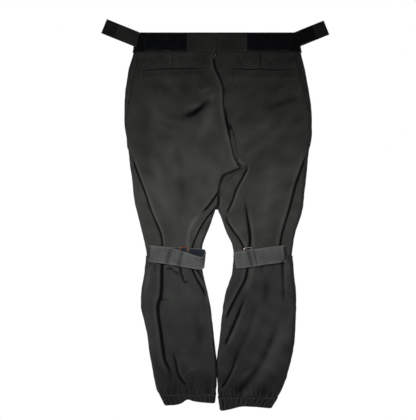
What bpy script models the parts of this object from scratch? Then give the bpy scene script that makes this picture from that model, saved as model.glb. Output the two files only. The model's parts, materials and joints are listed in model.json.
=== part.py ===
"""Work trousers with hook-and-loop waist adjusters and knee straps, as separate sewn pieces.

Metres, +Z up. The back of the trousers faces -Y, so the wearer's left leg is at -X.
The origin is the middle of the waist opening, at the waistband's top edge. The trousers
are held up at the waist and stand open to a shallow depth, as if a slim body filled them.

Every shell piece lies on one section: at each height a leg is a flattened tube with a
flat back, a flat front and half-elliptical ends. A place on the section is a `turn`:
0 to 1 runs along the flat back from the inseam to the side, 1 to 2 goes round the outer
end, 2 to 3 runs along the flat front to the inseam, and 3 to 4 goes round the inner end.
"""

import math
from dataclasses import dataclass

import bmesh
import bpy
import numpy as np

SIDES = {"left": -1, "right": 1}  # the wearer's sides, and the sign of X on each

# Clearances
GAP = 0.0003  # between two faces that touch
SEAM_TURN = 0.002  # half the width of a seam, in turns of the section

# Cloth and trim, through their thickness
TWILL = 0.0014
BAND_THICKNESS = 0.0024
BAND_PROUD = 0.0008  # the waistband stands this far outside the panels
LINING = 0.0008
POCKETING = 0.0012
TAPE_THICKNESS = 0.0014  # hook tape and loop tape
WEBBING = 0.0020

# Heights below the waistband's top edge
BAND_HEIGHT = 0.0515
CROTCH_DROP = 0.395
CROTCH_RISE = 0.095  # height of the crotch curve, from its lowest point to the flat seam
SIDE_APEX_DROP = 0.318
KNEE_DROP = 0.600
HEM_DROP = {"left": 1.001, "right": 1.009}
CUFF_HEIGHT = 0.029

# Half the depth of the opened trousers, at levels 0 (waist), 1 (knee seam) and 2 (hem)
HALF_DEPTH = 0.031
KNEE_HALF_DEPTH = 0.028
HEM_HALF_DEPTH = 0.021
DEPTH_STATIONS = (
    (0.00, HALF_DEPTH),
    (0.50, HALF_DEPTH),
    (0.72, HALF_DEPTH + 0.003),
    (0.93, KNEE_HALF_DEPTH),
    (1.08, KNEE_HALF_DEPTH),
    (1.35, KNEE_HALF_DEPTH + 0.005),
    (1.88, HEM_HALF_DEPTH + 0.004),
    (2.00, HEM_HALF_DEPTH),
)
OUTER_END_SHARE = 0.6  # the outer end's length as a share of the half depth
INNER_END = 0.019  # length of the inner end's half ellipse

# Distance of the side edge from the middle, as (level, metres)
WAIST_HALF_WIDTH = 0.2140
HIP_HALF_WIDTH = {"left": 0.2498, "right": 0.2555}
SIDE_STATIONS = {
    "left": (
        (0.000, WAIST_HALF_WIDTH),
        (0.086, WAIST_HALF_WIDTH + 0.0100),
        (0.193, HIP_HALF_WIDTH["left"] - 0.0080),
        (0.340, HIP_HALF_WIDTH["left"]),
        (0.553, HIP_HALF_WIDTH["left"] - 0.0130),
        (0.770, 0.2200),
        (0.913, 0.1995),
        (1.000, 0.1885),
        (1.085, 0.1930),
        (1.300, 0.2035),
        (1.510, 0.1880),
        (1.725, 0.1745),
        (1.885, 0.1634),
        (2.000, 0.1370),
    ),
    "right": (
        (0.000, WAIST_HALF_WIDTH),
        (0.086, WAIST_HALF_WIDTH + 0.0100),
        (0.193, HIP_HALF_WIDTH["right"] - 0.0160),
        (0.420, HIP_HALF_WIDTH["right"]),
        (0.553, HIP_HALF_WIDTH["right"] - 0.0105),
        (0.770, 0.2310),
        (0.913, 0.2090),
        (1.000, 0.2010),
        (1.085, 0.2035),
        (1.300, 0.2135),
        (1.510, 0.2090),
        (1.725, 0.1960),
        (1.885, 0.1740),
        (2.000, 0.1440),
    ),
}

# Distance of the inseam edge from the middle: first as (share of crotch to knee, metres),
# then as (share of knee to hem, metres). The legs part below the seat and meet again
# above the hems.
LEGS_APART = 0.0015  # half the space between the legs where they lie side by side
KNEE_INSEAM = {"left": 0.0420, "right": 0.0465}
HEM_INSEAM = {"left": 0.0070, "right": 0.0095}
THIGH_STATIONS = {
    side: (
        (0.000, 0.0),
        (0.366, LEGS_APART),
        (0.540, 0.0149),
        (0.750, 0.0310),
        (0.860, KNEE_INSEAM[side] - 0.0030),
        (1.000, KNEE_INSEAM[side]),
    )
    for side in SIDES
}
SHIN_STATIONS = {
    side: (
        (0.000, KNEE_INSEAM[side]),
        (0.138, 0.0405),
        (0.190, 0.0310),
        (0.300, 0.0215),
        (0.510, 0.0105),
        (0.620, 0.0055),
        (0.725, LEGS_APART),
        (0.885, LEGS_APART),
        (1.000, HEM_INSEAM[side]),
    )
    for side in SIDES
}
SIDE_PANEL_WIDTH = {"left": 0.048, "right": 0.036}  # seen from behind, at the knee seam

# Waist adjusters
LOOP_WIDTH = 0.113
LOOP_TO_TAB_ROOT = 0.0015
LOOP_MARGIN = 0.0010  # band left above and below the loop tape
TAB_LENGTH = {"left": 0.094, "right": 0.084}
TAB_WIDTH = 0.041
TAB_THICKNESS = 0.0024
TAB_RISE = math.radians(22)
TAB_INSET = 0.006  # the tab's fold line lies this far inside the side edge
TAB_ROOT_GAP = 0.0006  # between the waistband's round end and the strip that carries the tab
TAB_HOOK_LENGTH = 0.036

# Pockets
WELT_LENGTH = 0.162
WELT_WIDTH = 0.019
WELT_FROM_MIDDLE = 0.034
WELT_DROP = 0.102
BACK_BAG_DEPTH = 0.150
BACK_BAG_MARGIN = 0.008
FRONT_BAG_WIDTH = 0.110
FRONT_BAG_DEPTH = 0.235
FRONT_BAG_INSET = 0.008  # from where the flat front stops at the waist seam
LABEL_SIZE = (0.034, 0.046)

# Fly
FLY_LENGTH = 0.165
FLY_NOTCH = 0.0065  # half the width of the slot that the slider runs in
FLY_TAPER = 0.010
FLAP_REACH = 0.009  # past the middle
FLAP_WIDTH = 0.043
FLAP_LIFT = 0.0034  # underside of the flap above the front panel
SHIELD_WIDTH = 0.046
SHIELD_SPACE = 0.0007  # from the slider's back plate
ZIP_TAPE_WIDTH = 0.013
ZIP_TAPE = 0.0008
TOOTH_WIDTH = 0.0022
TOOTH_DEPTH = 0.0020
CHAIN_SPLIT = 0.0007  # half the space between the two rows of teeth
SLIDER_WIDTH = 0.0086
SLIDER_LENGTH = 0.011
SLIDER_PLATE = 0.0010
SLIDER_WEB = 0.0008
ZIP_CLEARANCE = 0.0004
PULL_LENGTH = 0.024
PULL_WIDTH = 0.0065
PULL_THICKNESS = 0.0010
STOP_LENGTH = 0.004
BUTTON_RADIUS = 0.0085
BUTTON_THICKNESS = 0.0030
BUTTON_FROM_MIDDLE = 0.016
SHANK_RADIUS = 0.0015
BUTTONHOLE_LENGTH = 0.021
BUTTONHOLE_WIDTH = 0.0042
UNDERLAP_REACH = 0.034

# Knee straps
STRAP_WIDTH = 0.044
STRAP_TILT = math.radians(6)  # the inner end hangs lower
STRAP_TOP_DROP = 0.5715
STRAP_OUTER_END = {"left": 0.178, "right": 0.181}
STRAP_INNER_END = {"left": 0.030, "right": 0.047}
STRAP_SPACE = 0.0054  # between the two layers
STRAP_TIP_SHORT = 0.004  # the free end stops this far short of the sewn end
STRAP_MITRE = 0.010
STRAP_HOOK_LENGTH = 0.042
STRAP_HOOK_MARGIN = 0.003
RING_WIRE_RADIUS = 0.0012
RING_WIDTH = 0.021
RING_MARGIN = 0.0032  # the ring's inside passes the webbing's edges by this much
RING_CORNER = 0.004
RING_FROM_INNER_END = {"left": 0.048, "right": 0.026}
RING_LIFT = 0.0004
KEEPER_LENGTH = 0.026
KEEPER_WALL = 0.0009
KEEPER_CLEARANCE = 0.0005

# Cuffs
ELASTIC = 0.0016
ELASTIC_CLEARANCE = 0.0005

STRETCH_COLUMNS = 5  # columns between two corners of the section
ROW_SPACING = 0.045
ROW_CLEAR = 0.012


@dataclass(frozen=True)
class Finish:
    """A plain colour and gloss for one kind of material."""

    name: str
    colour: tuple
    roughness: float
    metallic: float = 0.0


TWILL_FINISH = Finish("black_twill", (0.016, 0.016, 0.015), 0.9)
LINING_FINISH = Finish("lining_cloth", (0.020, 0.020, 0.022), 0.9)
LOOP_FINISH = Finish("loop_pile", (0.005, 0.006, 0.006), 1.0)
HOOK_FINISH = Finish("hook_tape", (0.010, 0.010, 0.010), 0.7)
WEBBING_FINISH = Finish("grey_webbing", (0.070, 0.072, 0.070), 0.95)
COPPER_FINISH = Finish("copper_wire", (0.45, 0.21, 0.10), 0.35, 1.0)
ZIP_METAL_FINISH = Finish("dark_metal", (0.10, 0.09, 0.08), 0.4, 1.0)
ELASTIC_FINISH = Finish("elastic", (0.30, 0.30, 0.29), 0.9)
BUTTON_FINISH = Finish("button_plastic", (0.015, 0.015, 0.015), 0.4)
LABEL_FINISH = Finish("label_cloth", (0.60, 0.60, 0.58), 0.8)


# The section ------------------------------------------------------------------------


def smooth(stations, at):
    """Reads the curve through the stations that never overshoots them."""
    places, values = np.array(stations, dtype=float).T
    slopes = np.diff(values) / np.diff(places)
    before, after = slopes[:-1], slopes[1:]
    same_way = before * after > 0
    total = np.where(same_way, before + after, 1.0)
    inner = np.where(same_way, 2 * before * after / total, 0.0)
    tangents = np.concatenate([slopes[:1], inner, slopes[-1:]])
    k = int(np.clip(np.searchsorted(places, at) - 1, 0, len(slopes) - 1))
    step = places[k + 1] - places[k]
    t = min(max((at - places[k]) / step, 0.0), 1.0)
    rise = t * t * (3 - 2 * t)
    start = t * (1 - t) ** 2 * step * tangents[k]
    end = t * t * (t - 1) * step * tangents[k + 1]
    return values[k] * (1 - rise) + values[k + 1] * rise + start + end


def level(side, z):
    """Returns 0 at the waist, 1 at the knee seam and 2 at the hem."""
    if -z <= KNEE_DROP:
        return -z / KNEE_DROP
    return 1 + (-z - KNEE_DROP) / (HEM_DROP[side] - KNEE_DROP)


def side_edge(side, z):
    """Returns the side edge's distance from the middle."""
    return smooth(SIDE_STATIONS[side], level(side, z))


def half_depth(side, z):
    """Returns half the front-to-back depth."""
    return smooth(DEPTH_STATIONS, level(side, z))


def crotch_share(z):
    """Returns 0 at the lowest point of the crotch curve and 1 at its top."""
    return min((z + CROTCH_DROP) / CROTCH_RISE, 1.0)


def inseam_edge(side, z):
    """Returns the inner edge's distance from the middle, less than nothing above the crotch."""
    if -z < CROTCH_DROP:
        return GAP / 2 - INNER_END * crotch_share(z)
    if -z < KNEE_DROP:
        share = (-z - CROTCH_DROP) / (KNEE_DROP - CROTCH_DROP)
        return GAP / 2 + smooth(THIGH_STATIONS[side], share)
    return GAP / 2 + smooth(SHIN_STATIONS[side], level(side, z) - 1)


def outer_end(side, z):
    """Returns the length of the outer end's half ellipse."""
    return OUTER_END_SHARE * half_depth(side, z)


def flat_start(side, z):
    """Returns where the flat back and front begin, from the middle."""
    return inseam_edge(side, z) + INNER_END


def flat_end(side, z):
    """Returns where the flat back and front stop, from the middle."""
    return side_edge(side, z) - outer_end(side, z)


def turn_at(side, z, distance):
    """Returns the turn of the point on the back that lies this far from the middle."""
    start, end = flat_start(side, z), flat_end(side, z)
    if distance <= end:
        return (distance - start) / (end - start)
    cosine = min((distance - end) / outer_end(side, z), 1.0)
    return 1.5 - math.acos(cosine) / math.pi


def shell_point(side, z, turn, inset=0.0):
    """Returns the world point at a turn of the section, moved inwards by the inset."""
    part, along = divmod(turn % 4, 1)
    start, end = flat_start(side, z), flat_end(side, z)
    depth = half_depth(side, z) - inset
    if part == 0:
        distance, y = start + along * (end - start), -depth
    elif part == 1:
        angle = (along - 0.5) * math.pi
        reach = outer_end(side, z) - inset
        distance, y = end + reach * math.cos(angle), depth * math.sin(angle)
    elif part == 2:
        distance, y = end - along * (end - start), depth
    else:
        angle = (0.5 - along) * math.pi
        reach = INNER_END - inset
        distance, y = start - reach * math.cos(angle), depth * math.sin(angle)
    return (SIDES[side] * distance, y, z)


def rows_between(top, bottom, breaks=()):
    """Returns heights from top to bottom: the breaks, and even steps clear of them."""
    fixed = [top, *(b for b in breaks if bottom < b < top), bottom]
    count = max(round((top - bottom) / ROW_SPACING), 1)
    even = [top + (bottom - top) * i / count for i in range(1, count)]
    free = [z for z in even if min(abs(z - f) for f in fixed) > ROW_CLEAR]
    return sorted(fixed + free, reverse=True)


# Making solids ----------------------------------------------------------------------


def principled(finish):
    """Returns the material of a finish, made once."""
    material = bpy.data.materials.get(finish.name)
    if material is None:
        material = bpy.data.materials.new(finish.name)
        material.use_nodes = True
        shader = material.node_tree.nodes["Principled BSDF"]
        shader.inputs["Base Color"].default_value = (*finish.colour, 1.0)
        shader.inputs["Roughness"].default_value = finish.roughness
        shader.inputs["Metallic"].default_value = finish.metallic
        material.diffuse_color = (*finish.colour, 1.0)
    return material


def make_object(name, mesh_builder, finish, pivot=None):
    """Links a new object with the builder's mesh, its faces out and its origin at the pivot."""
    bmesh.ops.recalc_face_normals(mesh_builder, faces=mesh_builder.faces)
    if pivot is not None:
        bmesh.ops.translate(mesh_builder, verts=mesh_builder.verts, vec=[-c for c in pivot])
    mesh = bpy.data.meshes.new(name)
    mesh_builder.to_mesh(mesh)
    mesh_builder.free()
    mesh.materials.append(principled(finish))
    made = bpy.data.objects.new(name, mesh)
    if pivot is not None:
        made.location = pivot
    bpy.context.scene.collection.objects.link(made)
    return made


def slab(name, outer, inner, finish, ring=False):
    """Closes two matching grids of points into one solid. A ring's last column meets its first."""
    bm = bmesh.new()
    skins = [[[bm.verts.new(p) for p in row] for row in grid] for grid in (outer, inner)]
    rows, columns = len(outer), len(outer[0])
    spans = [(j, (j + 1) % columns) for j in range(columns if ring else columns - 1)]
    for skin in skins:
        for upper, lower in zip(skin, skin[1:]):
            for j, k in spans:
                bm.faces.new((upper[j], upper[k], lower[k], lower[j]))
    for i in (0, rows - 1):
        for j, k in spans:
            bm.faces.new((skins[0][i][j], skins[0][i][k], skins[1][i][k], skins[1][i][j]))
    if not ring:
        for j in (0, columns - 1):
            for i in range(rows - 1):
                corners = (skins[0][i][j], skins[0][i + 1][j], skins[1][i + 1][j], skins[1][i][j])
                bm.faces.new(corners)
    return make_object(name, bm, finish)


def prism(name, outline, start, end, place, finish, pivot=None):
    """Extrudes an outline from start to end. `place` turns (a, b, c) into a world point."""
    bm = bmesh.new()
    caps = [[bm.verts.new(place(a, b, c)) for a, b in outline] for c in (start, end)]
    for cap in caps:
        bm.faces.new(cap)
    for i, (first, second) in enumerate(zip(*caps)):
        j = (i + 1) % len(outline)
        bm.faces.new((first, caps[0][j], caps[1][j], second))
    return make_object(name, bm, finish, pivot)


def lathe(name, profile, centre, finish, steps=20):
    """Turns a profile of (radius, y) about the Y axis through the centre, with closed ends."""
    bm = bmesh.new()
    x, y0, z = centre
    points = [bm.verts.new((x + radius, y0 + y, z)) for radius, y in profile]
    edges = [bm.edges.new(pair) for pair in zip(points, points[1:])]
    bmesh.ops.spin(
        bm, geom=points + edges, cent=(x, y0, z), axis=(0, 1, 0), angle=math.tau, steps=steps
    )
    bmesh.ops.remove_doubles(bm, verts=bm.verts, dist=1e-6)
    return make_object(name, bm, finish)


def on_side(side):
    """Returns a placer for flat pieces: (distance from the middle, height, y)."""
    return lambda distance, z, y: (SIDES[side] * distance, y, z)


def across(x, z, y):
    """Places flat pieces that are given by their own x."""
    return (x, y, z)


def upright(x, y, z):
    """Places an outline drawn in plan and extruded along Z."""
    return (x, y, z)


def box_outline(low_a, high_a, low_b, high_b):
    """Returns the four corners of a rectangle."""
    return [(low_a, low_b), (high_a, low_b), (high_a, high_b), (low_a, high_b)]


# Shell pieces -----------------------------------------------------------------------

KNEE_SEAM = -KNEE_DROP
BAND_BOTTOM = -BAND_HEIGHT
FLY_BOTTOM = BAND_BOTTOM - FLY_LENGTH
CROTCH_TOP = CROTCH_RISE - CROTCH_DROP
THIGH_ROWS = rows_between(
    BAND_BOTTOM - GAP,
    KNEE_SEAM + GAP,
    (FLY_BOTTOM + FLY_TAPER, FLY_BOTTOM, CROTCH_TOP, -SIDE_APEX_DROP, -CROTCH_DROP),
)


def spread(first, last, corners):
    """Returns turns from first to last, with one at each corner that lies between them."""
    stops = [first, *corners, last]
    for i, corner in enumerate(corners, start=1):
        if not first < corner < last:
            stops[i] = first + (last - first) * i / (len(corners) + 1)
    stretches = [
        np.linspace(start, end, STRETCH_COLUMNS, endpoint=False)
        for start, end in zip(stops, stops[1:])
    ]
    return [*np.concatenate(stretches), last]


def panel(name, side, rows, first, last, corners=(), inset=0.0):
    """Makes a cloth panel between two turns, each a function of the height."""
    grids = [
        [
            [shell_point(side, z, turn, depth) for turn in spread(first(z), last(z), corners)]
            for z in rows
        ]
        for depth in (inset, inset + TWILL)
    ]
    return slab(name, grids[0], grids[1], TWILL_FINISH)


def side_panel_turn(side, z):
    """Returns the turn of the side panel's rear edge, which fans out below its apex."""
    share = (-z - SIDE_APEX_DROP) / (KNEE_DROP - SIDE_APEX_DROP)
    if share < 0:
        return 1.5
    width = SIDE_PANEL_WIDTH[side] * math.sin(share * math.pi / 2)
    widest = turn_at(side, z, side_edge(side, z) - width)
    return min(widest, 1.5 - 4 * SEAM_TURN)


def fly_edge(z):
    """Returns the front edge's distance from the middle, set back beside the zip."""
    share = min(max((z - FLY_BOTTOM) / FLY_TAPER, 0.0), 1.0)
    return share * FLY_NOTCH


def centre_turn(side, z, set_back=0.0):
    """Returns the turn where a panel starts at the centre seam or at the gusset."""
    start = max(flat_start(side, z), set_back) + GAP
    return turn_at(side, z, start)


def add_seat_and_thighs(side):
    """Makes the back, front and side panels from the waistband to the knee."""
    panel(
        f"back_panel_{side}", side, THIGH_ROWS,
        lambda z: centre_turn(side, z),
        lambda z: side_panel_turn(side, z) - SEAM_TURN,
        corners=(1,),
    )
    panel(
        f"front_panel_{side}", side, THIGH_ROWS,
        lambda z: 3 - side_panel_turn(side, z) + SEAM_TURN,
        lambda z: 3 - centre_turn(side, z, fly_edge(z)),
        corners=(2,),
    )
    panel(
        f"side_panel_{side}", side, [z for z in THIGH_ROWS if z <= -SIDE_APEX_DROP],
        lambda z: side_panel_turn(side, z) + SEAM_TURN,
        lambda z: 3 - side_panel_turn(side, z) - SEAM_TURN,
    )


def gusset_top(angle, inset):
    """Returns the height where the inner end meets the middle plane at this angle."""
    reach = (1 - math.cos(angle)) * (INNER_END - inset) + inset
    return CROTCH_TOP - CROTCH_RISE * (1 - reach / INNER_END)


def add_gusset(side, columns=10):
    """Makes the inner thigh strip, whose top edge is half of the crotch seam."""
    rows = [z for z in THIGH_ROWS if z <= CROTCH_TOP]
    bottom = rows[-1]
    grids = []
    for inset in (0.0, TWILL):
        grid = []
        for row in rows:
            down = (row - CROTCH_TOP) / (bottom - CROTCH_TOP)
            points = []
            for j in range(columns + 1):
                angle = (0.5 - j / columns) * math.pi
                top = gusset_top(angle, inset)
                z = top + down * (bottom - top)
                points.append(shell_point(side, z, 3.5 - angle / math.pi, inset))
            grid.append(points)
        grids.append(grid)
    slab(f"inseam_gusset_{side}", grids[0], grids[1], TWILL_FINISH)


def cuff_top(side):
    """Returns the height of the cuff casing's seam."""
    return -HEM_DROP[side] + CUFF_HEIGHT


def add_lower_leg(side):
    """Makes the back and front of the lower leg, from the knee seam to the cuff."""
    rows = rows_between(KNEE_SEAM - GAP, cuff_top(side) + GAP)
    for name, start in (("back", -0.5), ("front", 1.5)):
        panel(
            f"lower_leg_{name}_{side}", side, rows,
            lambda z, start=start: start + SEAM_TURN,
            lambda z, start=start: start + 2 - SEAM_TURN,
            corners=(start + 0.5, start + 1.5),
        )


def ring_points(side, z, inset, columns):
    """Returns one closed turn of the section."""
    return [shell_point(side, z, 4 * j / columns, inset) for j in range(columns)]


def add_cuff(side, columns=28):
    """Makes the casing, a folded channel open at its seam, and the elastic inside it."""
    top, bottom = cuff_top(side), -HEM_DROP[side]
    middle = (top + bottom) / 2
    room = 2 * ELASTIC_CLEARANCE + ELASTIC
    floor = bottom + TWILL
    inner_wall = TWILL + room
    profile = [
        (0, top), (0, middle), (0, bottom),
        (inner_wall + TWILL, bottom), (inner_wall + TWILL, middle), (inner_wall + TWILL, top),
        (inner_wall, top), (inner_wall, middle), (inner_wall, floor),
        (TWILL, floor), (TWILL, middle), (TWILL, top),
    ]
    bm = bmesh.new()
    loops = [
        [bm.verts.new(p) for p in ring_points(side, z, inset, columns)] for inset, z in profile
    ]
    for i, loop in enumerate(loops):
        other = loops[(i + 1) % len(loops)]
        for j in range(columns):
            k = (j + 1) % columns
            bm.faces.new((loop[j], loop[k], other[k], other[j]))
    make_object(f"cuff_casing_{side}", bm, TWILL_FINISH)
    heights = (top - ELASTIC_CLEARANCE, middle, floor + ELASTIC_CLEARANCE)
    inset = TWILL + ELASTIC_CLEARANCE
    outer = [ring_points(side, z, inset, columns) for z in heights]
    inner = [ring_points(side, z, inset + ELASTIC, columns) for z in heights]
    slab(f"cuff_elastic_{side}", outer, inner, ELASTIC_FINISH, ring=True)


# Waistband --------------------------------------------------------------------------

BAND_TURNS = 4  # columns along each flat, and round each quarter end
BAND_INNER = BAND_THICKNESS - BAND_PROUD
BACK_FACE = -HALF_DEPTH - BAND_PROUD  # the waistband's back, where the loop tape is sewn
FRONT_FACE = HALF_DEPTH + BAND_PROUD


def band_piece(name, side, start, end, inset, thickness, finish, bottom=BAND_BOTTOM):
    """Makes a strip of the waistband between two turns."""
    corner = 1 if start < 1.5 else 2
    near = np.linspace(start, corner, BAND_TURNS + 1)
    far = np.linspace(corner, end, BAND_TURNS + 1)[1:]
    turns = [*near, *far]
    grids = [
        [[shell_point(side, z, turn, depth) for turn in turns] for z in (0.0, bottom)]
        for depth in (inset, inset + thickness)
    ]
    return slab(name, grids[0], grids[1], finish)


def band_turn(side, distance):
    """Returns a turn on the waistband's flat back, right at its top edge."""
    return turn_at(side, 0.0, distance)


def add_waistband(side):
    """Makes the back, front and lining of one half of the waistband."""
    centre = band_turn(side, GAP)
    piece = (side, centre, 1.5 - SEAM_TURN, -BAND_PROUD, BAND_THICKNESS, TWILL_FINISH)
    band_piece(f"waistband_back_{side}", *piece)
    piece = (side, 1.5 + SEAM_TURN, 3 - centre, -BAND_PROUD, BAND_THICKNESS, TWILL_FINISH)
    front = band_piece(f"waistband_front_{side}", *piece)
    inset = BAND_INNER + GAP
    underlap = 3 - band_turn(side, UNDERLAP_REACH + 2 * GAP)
    band_piece(
        f"band_lining_back_{side}", side, centre, 1.5 - SEAM_TURN, inset, LINING, LINING_FINISH
    )
    band_piece(
        f"band_lining_front_{side}", side, 1.5 + SEAM_TURN, underlap, inset, LINING, LINING_FINISH
    )
    return front


def add_loop_patch(side):
    """Makes the loop tape on the waistband's flat back."""
    end = flat_end(side, 0.0) - LOOP_TO_TAB_ROOT
    outline = box_outline(
        end - LOOP_WIDTH, end, BAND_BOTTOM + LOOP_MARGIN, -LOOP_MARGIN
    )
    face = BACK_FACE - GAP
    prism(f"loop_patch_{side}", outline, face - TAPE_THICKNESS, face, on_side(side), LOOP_FINISH)


# Waist tabs -------------------------------------------------------------------------

ROOT_STRIP_FACE = BACK_FACE - TAB_ROOT_GAP - TWILL
TAB_MIDDLE = ROOT_STRIP_FACE - 2 * GAP - TAB_THICKNESS / 2


def tab_fold(side):
    """Returns the fold line's top and bottom, as (distance from the middle, height)."""
    top = (side_edge(side, 0.0) - TAB_INSET, 0.0)
    bottom = (side_edge(side, BAND_BOTTOM) - TAB_INSET, BAND_BOTTOM)
    return np.array(top), np.array(bottom)


def tab_frame(side):
    """Returns the tab's long direction, its width direction and its two root corners."""
    along = np.array((math.cos(TAB_RISE), math.sin(TAB_RISE)))
    down = np.array((math.sin(TAB_RISE), -math.cos(TAB_RISE)))
    top, bottom = tab_fold(side)
    fold = (bottom - top) / np.linalg.norm(bottom - top)
    reach = TAB_WIDTH / float(fold @ down)
    return along, down, top, top + fold * reach


def tab_outline(side, start, end, margin=0.0):
    """Returns the tab's outline between two lengths measured along its top edge."""
    along, down, root_top, root_bottom = tab_frame(side)
    far_top = root_top + along * (end - margin) + down * margin
    far_bottom = root_top + along * (end - margin) + down * (TAB_WIDTH - margin)
    if start == 0:
        return [root_top, far_top, far_bottom, root_bottom]
    near_top = root_top + along * start + down * margin
    near_bottom = root_top + along * start + down * (TAB_WIDTH - margin)
    return [near_top, far_top, far_bottom, near_bottom]


def add_tab_root(side):
    """Makes the strip that is sewn into the side seam and carries the tab's fold."""
    rows = (-GAP, BAND_BOTTOM + GAP)
    start = 1.0 - SEAM_TURN
    panel(
        f"tab_root_{side}", side, rows, lambda z: start, lambda z: 1.5,
        inset=-BAND_PROUD - TAB_ROOT_GAP - TWILL,
    )


def add_waist_tab(side):
    """Makes the adjuster tab and its hook tape, both turning about the fold line."""
    top, _ = tab_fold(side)
    pivot = (SIDES[side] * top[0], TAB_MIDDLE, top[1])
    half = TAB_THICKNESS / 2
    outline = tab_outline(side, 0, TAB_LENGTH[side])
    tab = prism(
        f"waist_tab_{side}", outline, TAB_MIDDLE - half, TAB_MIDDLE + half,
        on_side(side), TWILL_FINISH, pivot,
    )
    start = TAB_LENGTH[side] - TAB_HOOK_LENGTH
    hook_outline = tab_outline(side, start, TAB_LENGTH[side], margin=0.0015)
    face = TAB_MIDDLE - half - GAP
    hook = prism(
        f"tab_hook_{side}", hook_outline, face - TAPE_THICKNESS, face,
        on_side(side), HOOK_FINISH, pivot,
    )
    hold(hook, tab)


def hold(child, parent):
    """Parents a piece without moving it. Both have the same origin and no rotation."""
    offset = child.location - parent.location
    child.parent = parent
    child.location = offset


# Pockets and label ------------------------------------------------------------------


def add_pockets(side):
    """Makes the rear welt, the rear bag and the front bag of one side."""
    place = on_side(side)
    top = -WELT_DROP + WELT_WIDTH / 2
    welt = box_outline(
        WELT_FROM_MIDDLE, WELT_FROM_MIDDLE + WELT_LENGTH, top - WELT_WIDTH, top
    )
    face = -HALF_DEPTH - GAP
    prism(f"pocket_welt_{side}", welt, face - LINING, face, place, TWILL_FINISH)
    bag = box_outline(
        WELT_FROM_MIDDLE - BACK_BAG_MARGIN, WELT_FROM_MIDDLE + WELT_LENGTH + BACK_BAG_MARGIN,
        top - BACK_BAG_DEPTH, top,
    )
    inside = HALF_DEPTH - TWILL - GAP
    prism(f"back_pocket_bag_{side}", bag, -inside, -inside + POCKETING, place, LINING_FINISH)
    mouth = BAND_BOTTOM - GAP
    end = flat_end(side, mouth) - FRONT_BAG_INSET
    start = end - FRONT_BAG_WIDTH
    low = mouth - FRONT_BAG_DEPTH
    slant = FRONT_BAG_WIDTH / 3
    front = [(start, mouth), (end, mouth), (end, low + slant), (end - slant, low), (start, low)]
    prism(f"front_pocket_bag_{side}", front, inside - POCKETING, inside, place, LINING_FINISH)


def add_label():
    """Makes the blank cloth label that hangs inside the back of the waist."""
    width, height = LABEL_SIZE
    top = BAND_BOTTOM - GAP
    back = -HALF_DEPTH + TWILL + POCKETING + 2 * GAP
    outline = box_outline(-width / 2, width / 2, top - height, top)
    prism("care_label", outline, back, back + LINING, across, LABEL_FINISH)


# Fly --------------------------------------------------------------------------------

CHAIN_Y = HALF_DEPTH - TWILL - GAP - ZIP_TAPE / 2
CHAIN_TOP = BAND_BOTTOM - GAP
CHAIN_BOTTOM = FLY_BOTTOM + FLY_TAPER + STOP_LENGTH
SLIDER_TOP = CHAIN_TOP - GAP
SLIDER_FRONT = CHAIN_Y + TOOTH_DEPTH / 2 + ZIP_CLEARANCE + SLIDER_PLATE
SLIDER_BACK = CHAIN_Y - TOOTH_DEPTH / 2 - ZIP_CLEARANCE - SLIDER_PLATE


def add_zip_chain(side):
    """Makes one tape of the zip and its row of teeth."""
    place = on_side(side)
    teeth = (CHAIN_SPLIT, CHAIN_SPLIT + TOOTH_WIDTH)
    half = TOOTH_DEPTH / 2
    outline = box_outline(*teeth, CHAIN_BOTTOM, CHAIN_TOP)
    prism(f"zip_teeth_{side}", outline, CHAIN_Y - half, CHAIN_Y + half, place, ZIP_METAL_FINISH)
    start = teeth[1] + GAP
    half = ZIP_TAPE / 2
    outline = box_outline(start, start + ZIP_TAPE_WIDTH, CHAIN_BOTTOM, CHAIN_TOP)
    prism(f"zip_tape_{side}", outline, CHAIN_Y - half, CHAIN_Y + half, place, LINING_FINISH)


def add_slider():
    """Makes the slider, two plates and the web that runs between the teeth, and its pull."""
    half, web = SLIDER_WIDTH / 2, SLIDER_WEB / 2
    front_inner, back_inner = SLIDER_FRONT - SLIDER_PLATE, SLIDER_BACK + SLIDER_PLATE
    outline = [
        (-half, SLIDER_BACK), (half, SLIDER_BACK), (half, back_inner), (web, back_inner),
        (web, front_inner), (half, front_inner), (half, SLIDER_FRONT),
        (-half, SLIDER_FRONT), (-half, front_inner), (-web, front_inner),
        (-web, back_inner), (-half, back_inner),
    ]
    pivot = (0, CHAIN_Y, SLIDER_TOP)
    slider = prism(
        "zip_slider", outline, SLIDER_TOP - SLIDER_LENGTH, SLIDER_TOP, upright,
        ZIP_METAL_FINISH, pivot,
    )
    axis_z = SLIDER_TOP - SLIDER_LENGTH / 3
    back = SLIDER_FRONT + GAP
    middle = back + PULL_THICKNESS / 2
    top = axis_z + PULL_THICKNESS / 2
    outline = box_outline(-PULL_WIDTH / 2, PULL_WIDTH / 2, top - PULL_LENGTH, top)
    pull = prism(
        "zip_pull", outline, back, back + PULL_THICKNESS, across,
        ZIP_METAL_FINISH, (0, middle, axis_z),
    )
    hold(pull, slider)


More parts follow.
